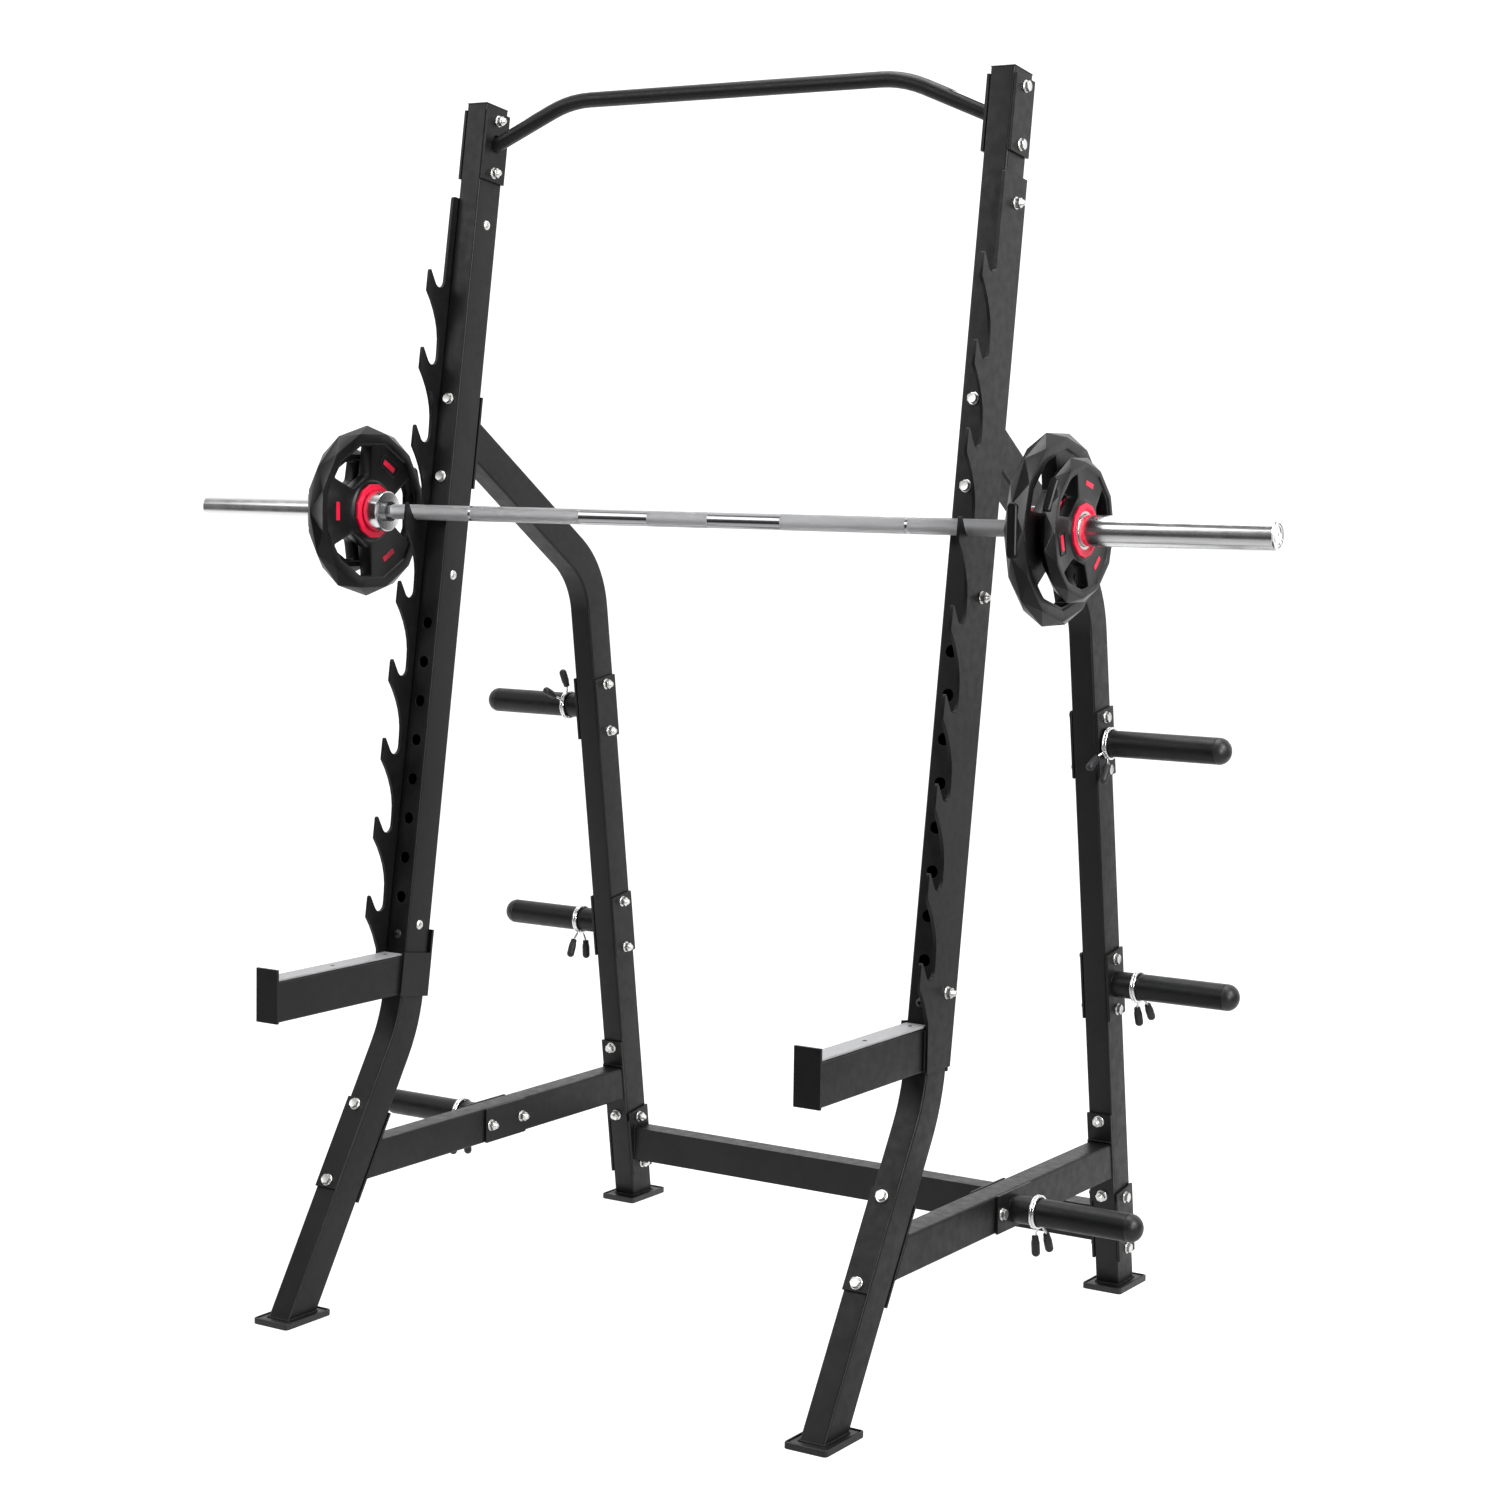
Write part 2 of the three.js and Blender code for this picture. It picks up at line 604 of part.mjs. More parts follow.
function barSleeve(side) {
  const from = bar.collar + gap;
  const bore = bar.coreR + 0.1;
  const profile = [[from, bore], [from, bar.flangeR - 1.5], [from + 1.5, bar.flangeR]];
  profile.push([from + bar.flangeT - 1.5, bar.flangeR], [from + bar.flangeT, bar.flangeR - 1.5]);
  const chamfer = barEnd.chamfer;
  profile.push([from + bar.flangeT, bar.sleeveR], [bar.half - chamfer, bar.sleeveR]);
  profile.push([bar.half, bar.sleeveR - chamfer], [bar.half, barEnd.recessR]);
  profile.push([bar.half - barEnd.recess, barEnd.recessR], [bar.half - barEnd.recess, bore], [from, bore]);
  return turnedX(profile.map(([x, r]) => [side * x + barOff, r]), ...barRest, 32);
}

// ---- tri-grip weight plates ---------------------------------------------------------------
const plateSizes = {
  ten: { radius: 159, thick: 44, hub: 62, slot: [70, 119], rim: 34, web: 22 },
  five: { radius: 119, thick: 32, hub: 55, slot: [62, 90], rim: 26, web: 18 },
};
const plateBore = 25.6;
const windowSpread = 30 * RAD;
const cutDepth = 80;
// Where the middle of each plate is on its sleeve, and how far each is turned on it.
const platePlaces = {
  left: { ten: 708, tenTurn: 0, five: 747, fiveTurn: 0 },
  right: { ten: 722, tenTurn: 15 * RAD, five: 760.4, fiveTurn: 15 * RAD },
};

// A window between hub and rim as a thick arc block centred on an angle.
function gripWindow(x, size, angle) {
  const [near, far] = size.slot;
  const outline = [];
  for (let i = 0; i <= 4; i++) {
    const a = angle - windowSpread + (2 * windowSpread * i) / 4;
    outline.push([barRest[0] + far * Math.cos(a), barRest[1] + far * Math.sin(a)]);
  }
  for (let i = 0; i <= 3; i++) {
    const a = angle + windowSpread * 0.8 - (1.6 * windowSpread * i) / 3;
    outline.push([barRest[0] + near * Math.cos(a), barRest[1] + near * Math.sin(a)]);
  }
  return sidePlate(outline, x - cutDepth / 2, cutDepth);
}

// The plate's middle is at x; its rim is a twelve-sided ridge, its web is thinner.
function weightPlate(x, size, turn) {
  const { radius, thick, hub, rim, web } = size;
  const far = size.slot[1] + 2;
  const profile = [[-thick / 2, 20], [-thick / 2, hub - 4], [-web / 2, hub], [-web / 2, far]];
  profile.push([-rim / 2, far + 8], [-rim / 2, radius - 16], [0, radius]);
  const other = profile.slice(0, -1).map(([a, r]) => [-a, r]).reverse();
  const outline = [...profile, ...other, profile[0]].map(([a, r]) => [x + a, r]);
  const wheel = turnedX(outline, ...barRest, 12, turn);
  const bore = rodX(x - cutDepth / 2, x + cutDepth / 2, ...barRest, plateBore, 24);
  const windows = [0, 1, 2].map((k) => gripWindow(x, size, turn + k * 120 * RAD));
  return wheel.subtract(union(...windows)).subtract(bore);
}

// ---- feet and caps --------------------------------------------------------------------------
function footShoe(side, y) {
  const outline = roundedRectangle(shoe.x, shoe.y, 6);
  const hollow = roundedRectangle(shoe.x - 2 * shoe.rim, shoe.y - 2 * shoe.rim, 4);
  const tray = (points, low, high) => {
    const shape = new THREE.Shape(points.map(([a, b]) => new THREE.Vector2(a, b)));
    const geometry = new THREE.ExtrudeGeometry(shape, { depth: high - low, bevelEnabled: false });
    geometry.translate(side * sideX, y, low);
    return solid(geometry);
  };
  return tray(outline, 0, shoe.high).subtract(tray(hollow, shoe.floor, shoe.high + 5));
}

function uprightCap(side) {
  const tilt = -lean;
  const w = tube.wall + 0.3;
  const lid = onUpright(-half, uprightTop + gap + 1.2);
  const plug = onUpright(-half, uprightTop - 4);
  const x = side * sideX;
  return union(
    box([x, ...lid], [tube.width, tube.depth, 2.4], tilt),
    box([x, ...plug], [tube.width - 2 * w - 1, tube.depth - 2 * w - 1, 10], tilt),
  );
}

// ---- the whole rack -------------------------------------------------------------------------
for (const side of [-1, 1]) {
  const name = side < 0 ? "left" : "right";
  piece(`upright_${name}`, upright(side), paint);
  piece(`rear_leg_${name}`, rearLeg(side), paint);
  piece(`side_base_tube_${name}`, sideBaseTube(side), paint);
  piece(`racking_plate_${name}`, rackingPlate(side), paint);
  piece(`safety_arm_${name}`, safetyArm(side), paint);
  piece(`safety_liner_${name}`, safetyLiner(side), linerGrey);
  piece(`upright_cap_${name}`, uprightCap(side), plastic);
  piece(`foot_shoe_front_${name}`, footShoe(side, atHeight(legMid, legUp, footTop - 1)[0]), plastic);
  piece(`foot_shoe_back_${name}`, footShoe(side, atHeight(rearMid, rearUp, footTop - 1)[0]), plastic);
  pegs.forEach((place) => {
    piece(`storage_peg_${place.name}_${name}`, storagePeg(side, place), paint);
    piece(`peg_cap_${place.name}_${name}`, pegCap(side, place), plastic);
  });
  piece(`barbell_sleeve_${name}`, barSleeve(side), chrome);
  const places = platePlaces[name];
  const tenX = side * places.ten + barOff;
  const fiveX = side * places.five + barOff;
  piece(`weight_plate_10_${name}`, weightPlate(tenX, plateSizes.ten, places.tenTurn), rubber);
  piece(`weight_plate_5_${name}`, weightPlate(fiveX, plateSizes.five, places.fiveTurn), rubber);
}
piece("rear_crossmember", rearCrossmember(), paint);
piece("pullup_bar", pullUpBar(), paint);
piece("barbell_shaft", barShaft(), chrome);
backingPlates();

collars.forEach(({ side, on, x, coil, lever }) => {
  const name = `${pegs[on].name}_${side < 0 ? "left" : "right"}`;
  const offset = collar.wire + gap / 2;
  const turn = (shift, handle, angle) => {
    return collarHalf(side * (x + shift), side * (x + handle), pegs[on].middle, angle * RAD);
  };
  piece(`collar_coil_${name}`, turn(-offset, -collar.handle, coil), chrome);
  piece(`collar_lever_${name}`, turn(offset, collar.handle, lever), chrome);
});

// The middle of the whole is on the Z axis and the shoes stand on Z = 0.
rack.updateMatrixWorld(true);
const bounds = new THREE.Box3().setFromObject(rack);
rack.position.x = -(bounds.min.x + bounds.max.x) / 2;
rack.position.y = -(bounds.min.y + bounds.max.y) / 2;

export default rack;
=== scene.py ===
"""A squat rack with a loaded barbell: finishes, hardware, welds, weight plates and collars
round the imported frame. Metres, +X right, +Y back, +Z up."""
import math

import bmesh
import bpy
from mathutils import Matrix, Vector


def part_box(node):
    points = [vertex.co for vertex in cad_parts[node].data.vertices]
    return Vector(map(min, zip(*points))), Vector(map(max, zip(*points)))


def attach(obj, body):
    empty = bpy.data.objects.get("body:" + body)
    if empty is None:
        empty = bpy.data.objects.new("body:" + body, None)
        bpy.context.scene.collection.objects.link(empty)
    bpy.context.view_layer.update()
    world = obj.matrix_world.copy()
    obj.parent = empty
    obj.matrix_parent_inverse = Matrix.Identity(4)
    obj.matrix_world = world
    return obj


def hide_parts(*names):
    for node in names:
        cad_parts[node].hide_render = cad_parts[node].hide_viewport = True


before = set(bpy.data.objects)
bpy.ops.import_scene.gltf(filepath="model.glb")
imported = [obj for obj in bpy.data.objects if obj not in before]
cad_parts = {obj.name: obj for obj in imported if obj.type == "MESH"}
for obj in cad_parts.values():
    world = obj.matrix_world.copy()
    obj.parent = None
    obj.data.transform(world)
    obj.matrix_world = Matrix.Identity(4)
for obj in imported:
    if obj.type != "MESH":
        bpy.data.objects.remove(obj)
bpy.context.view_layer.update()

SIDES = {"left": -1, "right": 1}
FRAME_BODY = "frame"

# Angles from the vertical of the members that lean.
UPRIGHT_LEAN = math.radians(8.06)
LEG_SPLAY = math.radians(31.3)
REAR_LEAN = math.radians(8.4)

# Rectangular tube and the plates bolted to it.
TUBE_WIDTH = 0.046
TUBE_DEPTH = 0.066
PLATE = 0.005
RACKING_PLATE = 0.006
BACKING_HALF = 0.002
GAP = 0.0003
SIDE_X = 0.5495
OUTER_X = SIDE_X + TUBE_WIDTH / 2
INNER_X = SIDE_X - TUBE_WIDTH / 2
OUTER_PLATE_X = OUTER_X + GAP + PLATE
INNER_PLATE_X = INNER_X - GAP - PLATE
# From the middle of the leg's backing plate to the back of the plate behind the leg.
BEHIND_LEG = BACKING_HALF + GAP + TUBE_DEPTH + GAP + PLATE
# From a member's centre line to the far side of a plate on its front or back.
PLATE_REACH = TUBE_DEPTH / 2 + GAP + PLATE

# The bar's shaft: its knurled zones are the centre and from the start outward, less the plain bands.
SHAFT_R = 0.014
KNURL = {"centre": 0.063, "start": 0.210, "plain": ((0.4525, 0.4575), (0.640, 0.700)), "pitch": 0.0016}


# ---- places on the frame ----------------------------------------------------
def middle(node):
    """The middle of a CAD node's box."""
    low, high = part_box(node)
    return (low + high) / 2


rack_x = middle("rear_crossmember").x
bar_axis = middle("barbell_shaft")


class Member:
    """A leaning tube: the point it is measured from, its upward direction and its front direction."""

    def __init__(self, origin, up):
        self.origin = Vector((0, origin.y, origin.z))
        self.up = Vector((0, up[0], up[1]))
        self.out = Vector((0, -up[1], up[0]))

    def at(self, x, along, out=0.0):
        return Vector((rack_x + x, 0, 0)) + self.origin + self.up * along + self.out * out


def slope(angle):
    """The direction in Y and Z that leans back by an angle from the vertical."""
    return (math.sin(angle), math.cos(angle))


# The upright and the rear leg are measured from their centre line, the front leg from the plate on
# its front.
upright = Member(middle("pullup_backing_plate_right"), slope(UPRIGHT_LEAN))
rear_leg = Member(middle("cross_backing_plate_right"), slope(-REAR_LEAN))
front_leg = Member(middle("leg_backing_plate_right"), slope(LEG_SPLAY))


# ---- materials --------------------------------------------------------------
class Recipe:
    """A node material under construction."""

    def __init__(self, name, colour, roughness, metallic=0.0):
        self.material = bpy.data.materials.new(name)
        self.material.use_nodes = True
        self.tree = self.material.node_tree
        self.shader = self.tree.nodes["Principled BSDF"]
        self.shader.inputs["Base Color"].default_value = (*colour, 1)
        self.shader.inputs["Roughness"].default_value = roughness
        self.shader.inputs["Metallic"].default_value = metallic
        self.place = self.node("ShaderNodeTexCoord").outputs["Object"]
        self.height = None

    def node(self, kind, **settings):
        made = self.tree.nodes.new(kind)
        for key, value in settings.items():
            setattr(made, key, value)
        return made

    def link(self, source, target):
        self.tree.links.new(source, target)

    def noise(self, scale, detail=3.0, stretch=None):
        made = self.node("ShaderNodeTexNoise")
        made.inputs["Scale"].default_value = scale
        made.inputs["Detail"].default_value = detail
        self.link(self.stretched(stretch) if stretch else self.place, made.inputs["Vector"])
        return made.outputs["Fac"]

    def stretched(self, stretch):
        made = self.node("ShaderNodeMapping")
        made.inputs["Scale"].default_value = stretch
        self.link(self.place, made.inputs["Vector"])
        return made.outputs["Vector"]

    def between(self, factor, low, high, start=0.0, end=1.0):
        """A number that goes from low to high as the factor goes from start to end."""
        made = self.node("ShaderNodeMapRange")
        made.inputs["From Min"].default_value = start
        made.inputs["From Max"].default_value = end
        made.inputs["To Min"].default_value = low
        made.inputs["To Max"].default_value = high
        self.link(factor, made.inputs["Value"])
        return made.outputs["Result"]

    def colour(self, factor, low, high):
        made = self.node("ShaderNodeMix", data_type="RGBA")
        made.inputs["A"].default_value = (*low, 1)
        made.inputs["B"].default_value = (*high, 1)
        self.link(factor, made.inputs["Factor"])
        self.link(made.outputs["Result"], self.shader.inputs["Base Color"])

    def roughness(self, factor, low, high, start=0.3, end=0.7):
        self.link(self.between(factor, low, high, start, end), self.shader.inputs["Roughness"])

    def bump(self, factor, distance, strength=1.0):
        made = self.node("ShaderNodeBump")
        made.inputs["Distance"].default_value = distance
        made.inputs["Strength"].default_value = strength
        self.link(factor, made.inputs["Height"])
        if self.height is not None:
            self.link(self.height, made.inputs["Normal"])
        self.height = made.outputs["Normal"]
        self.link(self.height, self.shader.inputs["Normal"])

    def maths(self, operation, a, b=None):
        made = self.node("ShaderNodeMath", operation=operation)
        for socket, value in zip(made.inputs, (a, b)):
            if isinstance(value, (int, float)):
                socket.default_value = value
            elif value is not None:
                self.link(value, socket)
        return made.outputs["Value"]

    def axis(self, name):
        split = self.node("ShaderNodeSeparateXYZ")
        self.link(self.place, split.inputs["Vector"])
        return split.outputs[name]


def powder_coat():
    """Satin black paint with the fine pebble and faint cloudiness of a baked powder."""
    made = Recipe("powder_coat", (0.005, 0.005, 0.006), 0.42)
    made.shader.inputs["Specular IOR Level"].default_value = 0.32
    cloud = made.noise(9.0, 4.0)
    pebble = made.noise(420.0, 2.0)
    grain = made.noise(1500.0, 1.0)
    made.colour(made.between(cloud, 0.0, 1.0, 0.35, 0.65), (0.004, 0.0041, 0.0046), (0.0066, 0.0067, 0.0074))
    made.roughness(made.noise(60.0, 5.0), 0.36, 0.5)
    made.bump(pebble, 0.0002, 0.35)
    made.bump(grain, 0.00005, 0.3)
    return made.material


def moulded_black():
    """Black plastic of the caps and shoes, with a spark-eroded grain."""
    made = Recipe("moulded_black", (0.011, 0.011, 0.012), 0.4)
    cloud = made.noise(35.0, 3.0)
    made.colour(cloud, (0.008, 0.008, 0.009), (0.016, 0.016, 0.017))
    made.roughness(made.noise(120.0, 3.0), 0.34, 0.5)
    made.bump(made.noise(1100.0, 2.0), 0.00012, 0.5)
    return made.material


def grip_rubber():
    """Dipped PVC on the collar handles."""
    made = Recipe("grip_rubber", (0.01, 0.01, 0.012), 0.5)
    made.colour(made.noise(60.0, 2.0), (0.008, 0.008, 0.01), (0.018, 0.018, 0.021))
    made.roughness(made.noise(220.0, 3.0), 0.42, 0.6)
    made.bump(made.noise(300.0, 2.0), 0.0002, 0.4)
    return made.material


def plate_urethane():
    """Moulded black urethane of the weight plates: smoother than the frame, with a soft sheen."""
    made = Recipe("plate_urethane", (0.005, 0.005, 0.0055), 0.3)
    cloud = made.noise(14.0, 4.0)
    made.colour(made.between(cloud, 0.0, 1.0, 0.35, 0.65), (0.0035, 0.0035, 0.0038), (0.0065, 0.0065, 0.007))
    made.shader.inputs["Specular IOR Level"].default_value = 0.28
    made.roughness(made.noise(40.0, 5.0), 0.28, 0.36)
    made.bump(made.noise(900.0, 2.0), 0.00004, 0.3)
    return made.material


def hub_red():
    """Red moulding round the plate's bore and the raised marks."""
    made = Recipe("hub_red", (0.72, 0.006, 0.045), 0.4)
    made.shader.inputs["Specular IOR Level"].default_value = 0.3
    made.colour(made.noise(50.0, 3.0), (0.68, 0.004, 0.038), (0.8, 0.008, 0.052))
    made.roughness(made.noise(90.0, 3.0), 0.28, 0.42)
    made.bump(made.noise(500.0, 2.0), 0.0001, 0.3)
    return made.material


def liner_plastic():
    """Pale wear strip on the safety arms, rubbed along its length."""
    made = Recipe("liner_plastic", (0.3, 0.3, 0.31), 0.5)
    rub = made.noise(30.0, 4.0, (9.0, 1.0, 9.0))
    made.colour(made.between(rub, 0.0, 1.0, 0.3, 0.7), (0.25, 0.25, 0.26), (0.36, 0.36, 0.365))
    made.roughness(rub, 0.4, 0.62)
    made.bump(rub, 0.0002, 0.4)
    return made.material


def zinc():
    """Bright zinc plate on the bolts, nuts and washers."""
    made = Recipe("zinc", (0.82, 0.82, 0.8), 0.34, 1.0)
    made.colour(made.noise(180.0, 3.0), (0.76, 0.76, 0.74), (0.9, 0.9, 0.88))
    made.roughness(made.noise(350.0, 3.0), 0.28, 0.44)
    made.bump(made.noise(900.0, 2.0), 0.0001, 0.4)
    return made.material


def chrome():
    """Hard chrome of the sleeves, with faint blotches in its tone and roughness."""
    made = Recipe("chrome", (0.78, 0.78, 0.79), 0.2, 1.0)
    made.colour(made.noise(30.0, 3.0), (0.84, 0.84, 0.85), (0.92, 0.92, 0.93))
    made.roughness(made.noise(25.0, 6.0), 0.17, 0.27)
    return made.material


def bar_steel():
    """The shaft: knurled grip zones with plain ring marks, and polished gaps beside the centre."""
    made = Recipe("bar_steel", (0.6, 0.6, 0.61), 0.3, 1.0)
    along = made.axis("X")
    reach = made.maths("ABSOLUTE", along)
    knurled = made.maths("GREATER_THAN", reach, KNURL["start"])
    knurled = made.maths("MAXIMUM", knurled, made.maths("LESS_THAN", reach, KNURL["centre"]))
    for low, high in KNURL["plain"]:
        above = made.maths("GREATER_THAN", reach, low)
        inside = made.maths("MULTIPLY", above, made.maths("LESS_THAN", reach, high))
        knurled = made.maths("SUBTRACT", knurled, made.maths("MULTIPLY", knurled, inside))
    away_y = made.maths("SUBTRACT", made.axis("Y"), bar_axis.y)
    away_z = made.maths("SUBTRACT", made.axis("Z"), bar_axis.z)
    round_it = made.maths("MULTIPLY", made.maths("ARCTAN2", away_y, away_z), SHAFT_R)
    pitch = 2 * math.pi / KNURL["pitch"]
    one = made.maths("SINE", made.maths("MULTIPLY", made.maths("ADD", along, round_it), pitch))
    two = made.maths("SINE", made.maths("MULTIPLY", made.maths("SUBTRACT", along, round_it), pitch))
    diamonds = made.maths("MULTIPLY", made.maths("MULTIPLY", one, two), knurled)
    # The colour follows the knurl's height: painted shade darkens the grooves and a painted highlight
    # lightens the crests.
    made.colour(made.between(diamonds, 0.0, 1.0, -0.6, 0.6), (0.22, 0.22, 0.23), (0.66, 0.66, 0.67))
    made.link(made.between(knurled, 0.16, 0.36), made.shader.inputs["Roughness"])
    made.bump(diamonds, 0.0005, 1.0)
    return made.material


def insert_steel():
    """Machined steel ring in the bore of each weight plate."""
    made = Recipe("insert_steel", (0.62, 0.6, 0.56), 0.25, 1.0)
    made.roughness(made.noise(80.0, 4.0), 0.16, 0.36)
    made.bump(made.noise(1.0, 2.0, (1200.0, 30.0, 30.0)), 0.00005, 0.4)
    return made.material


materials = {
    "frame_paint": powder_coat(),
    "black_plastic": moulded_black(),
    "grip_rubber": grip_rubber(),
    "plate_black": plate_urethane(),
    "hub_red": hub_red(),
    "arm_liner": liner_plastic(),
    "zinc": zinc(),
    "bar_chrome": chrome(),
    "bar_steel": bar_steel(),
    "insert_steel": insert_steel(),
}


# ---- mesh helpers -----------------------------------------------------------
def finished(name, maker, material, smooth_angle=30):
    """A mesh made from a bmesh, with its material and its sharp edges."""
    mesh = bpy.data.meshes.new(name)
    bmesh.ops.recalc_face_normals(maker, faces=maker.faces)
    shade(maker, smooth_angle)
    maker.to_mesh(mesh)
    maker.free()
    mesh.materials.append(materials[material])
    return mesh


def bare_object(name, maker):
    """An object made straight from a bmesh, that rides on no body."""
    mesh = bpy.data.meshes.new(name)
    maker.to_mesh(mesh)
    maker.free()
    made = bpy.data.objects.new(name, mesh)
    bpy.context.scene.collection.objects.link(made)
    return made


def new_piece(name, maker, material, body, smooth_angle=35):
    """An object made from a bmesh, riding on a body."""
    return stand(name, finished(name, maker, material, smooth_angle), body)


def stand(name, mesh, body, matrix=Matrix.Identity(4)):
    """An object with a finished mesh, riding on a body."""
    piece = bpy.data.objects.new(name, mesh)
    bpy.context.scene.collection.objects.link(piece)
    piece.matrix_world = matrix
    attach(piece, body)
    return piece


def shade(maker, angle):
    """Smooth faces, with sharp edges where two faces meet at more than the angle."""
    limit = math.radians(angle)
    for face in maker.faces:
        face.smooth = True
    for edge in maker.edges:
        edge.smooth = len(edge.link_faces) == 2 and edge.calc_face_angle(0.0) < limit


def add_loft(maker, rings, closed=False, caps=True):
    """Faces between rings of points, all with the same count."""
    made = [[maker.verts.new(point) for point in ring] for ring in rings]
    pairs = list(zip(made, made[1:]))
    if closed:
        pairs.append((made[-1], made[0]))
    for low, high in pairs:
        for k in range(len(low)):
            n = (k + 1) % len(low)
            maker.faces.new((low[k], low[n], high[n], high[k]))
    if caps and not closed:
        maker.faces.new(made[0])
        maker.faces.new(made[-1])


def add_turned(maker, profile, segments=32, place=Matrix.Identity(4), closed=False):
    """A body turned about its Z axis from a profile of (radius, height), moved by a matrix."""
    rings = []
    for radius, height in profile:
        turns = (2 * math.pi * k / segments for k in range(segments))
        rings.append([place @ Vector((radius * math.cos(t), radius * math.sin(t), height)) for t in turns])
    add_loft(maker, rings, closed)


def facing(position, direction):
    """A matrix that puts the Z axis of a part at the position, along the direction."""
    turn = Vector(direction).to_track_quat("Z", "Y").to_matrix().to_4x4()
    return Matrix.Translation(position) @ turn


# ---- fasteners --------------------------------------------------------------
BOLT = {"washer_r": 0.0105, "washer": 0.0018, "flats": 0.016, "head": 0.0064, "nut": 0.008, "thread_r": 0.005}


def hex_rings(base, height, flats):
    """Rings of a hexagon with the round chamfer of a bolt head on its top."""
    chamfer_r = flats / 2 * 0.96
    top = base + height
    rings = [[], [], []]
    for k in range(36):
        turn = 2 * math.pi * k / 36
        corner = (turn + math.pi / 6) % (math.pi / 3) - math.pi / 6
        radius = flats / 2 / math.cos(corner)
        drop = (radius - chamfer_r) * math.tan(math.radians(32))
        for ring, (r, z) in zip(rings, ((radius, base), (radius, top - drop), (chamfer_r, top))):
            ring.append(Vector((r * math.cos(turn), r * math.sin(turn), z)))
    return rings


def add_washer(maker):
    r, t = BOLT["washer_r"], BOLT["washer"]
    bore = BOLT["thread_r"]
    edge = t * 0.25
    profile = [(bore, 0), (r - edge, 0), (r, edge), (r, t - edge), (r - edge, t), (bore, t)]
    add_turned(maker, profile, 36, closed=True)


def bolt_head_mesh():
    """A washer and a hexagon head with a shallow dish in its top."""
    maker = bmesh.new()
    add_washer(maker)
    rings = hex_rings(BOLT["washer"], BOLT["head"], BOLT["flats"])
    dish = [[p * 0.8 + Vector((0, 0, p.z * 0.2 - 0.0002)) for p in rings[-1]]]
    add_loft(maker, rings + dish)
    return finished("bolt_head", maker, "zinc")


def nut_mesh():
    """A washer, a nut and the thread that stands out of it."""
    maker = bmesh.new()
    add_washer(maker)
    add_loft(maker, hex_rings(BOLT["washer"], BOLT["nut"], BOLT["flats"]))
    top = BOLT["washer"] + BOLT["nut"]
    crest, root, pitch = BOLT["thread_r"], BOLT["thread_r"] * 0.86, 0.0015
    profile = [(root, top - 0.0006)]
    for turn in range(4):
        profile += [(crest, top + (turn + 0.35) * pitch), (root, top + (turn + 0.85) * pitch)]
    profile.append((root * 0.8, top + 4.4 * pitch))
    add_turned(maker, profile, 24)
    return finished("nut", maker, "zinc")


def button_head_mesh(height=0.0045, radius=0.009):
    """A low domed head with a hexagon socket."""
    maker = bmesh.new()
    turns = [k * math.pi / 18 for k in range(36)]
    rings = []
    for a in (0.0, 0.3, 0.6, 0.9, 1.15):
        r, z = radius * math.cos(a), height * math.sin(a)
        rings.append([Vector((r * math.cos(t), r * math.sin(t), z)) for t in turns])
    socket = hex_rings(0, height, 0.0055)[0]
    rim = [Vector((p.x, p.y, height * 0.97)) for p in socket]
    floor = [Vector((p.x, p.y, height * 0.35)) for p in socket]
    add_loft(maker, rings + [rim, floor])
    return finished("button_head", maker, "zinc")


heads = {"bolt": bolt_head_mesh(), "nut": nut_mesh(), "button": button_head_mesh()}
heads["dark_button"] = heads["button"].copy()
heads["dark_button"].materials.clear()
heads["dark_button"].materials.append(materials["black_plastic"])


# Where the bolts of each joint stand along their member, from the member's own point.
BOLT_ROWS = {
    "pullup": (0.049, -0.049),
    "racking": (-0.147, -0.8029, -1.4514),
    "brace": (-0.4784, -0.6234),
    "leg": (0.0725, -0.0725),
    "cross": (0.05, -0.05),
}
# How far the base tube's rear joint is up the rear leg from the crossmember's.
BASE_JOINT_RISE = 0.135
DOME_SCREW_AT = -1.471
DOME_SCREW_SINK = 0.0002
LINER_SCREWS = {"shares": (0.5, 0.93), "sink": 0.0006, "scale": (0.5, 0.5, 0.35, 1)}


def fasten(name, kind, position, direction, turn=0.0):
    """One fastener standing on a face, pointing along the direction; the turn varies its hexagon."""
    place = facing(position, direction) @ Matrix.Rotation(turn, 4, "Z")
    return stand(name, heads[kind], FRAME_BODY, place)


def fasten_pair(name, member, side, along, reach):
    """A bolt through a member along X: its head on the outer side and its nut on the inner side."""
    outer, inner = reach
    out = Vector((side, 0, 0))
    fasten(f"{name}_head", "bolt", member.at(side * outer, along), out, turn=along * 40)
    fasten(f"{name}_nut", "nut", member.at(side * inner, along), -out, turn=along * 60)


def upright_bolts(word, side):
    """The bolts of the pull-up bar, the racking plate and the brace."""
    front, back = upright.out, -upright.out
    out = Vector((side, 0, 0))
    x = side * SIDE_X
    for n, along in enumerate(BOLT_ROWS["pullup"]):
        fasten_pair(f"pullup_bolt_{word}_{n}", upright, side, along, (OUTER_PLATE_X, INNER_PLATE_X))
    racking_x = OUTER_X + GAP + RACKING_PLATE
    for n, along in enumerate(BOLT_ROWS["racking"]):
        fasten(f"racking_nut_{word}_{n}", "nut", upright.at(side * racking_x, along), out, turn=along * 9)
        fasten(f"racking_screw_{word}_{n}", "button", upright.at(side * INNER_X, along), -out, turn=along * 7)
    for n, along in enumerate(BOLT_ROWS["brace"]):
        fasten(f"brace_bolt_{word}_{n}", "bolt", upright.at(x, along, TUBE_DEPTH / 2), front, turn=n)
        fasten(f"brace_nut_{word}_{n}", "nut", upright.at(x, along, -PLATE_REACH), back, turn=n)


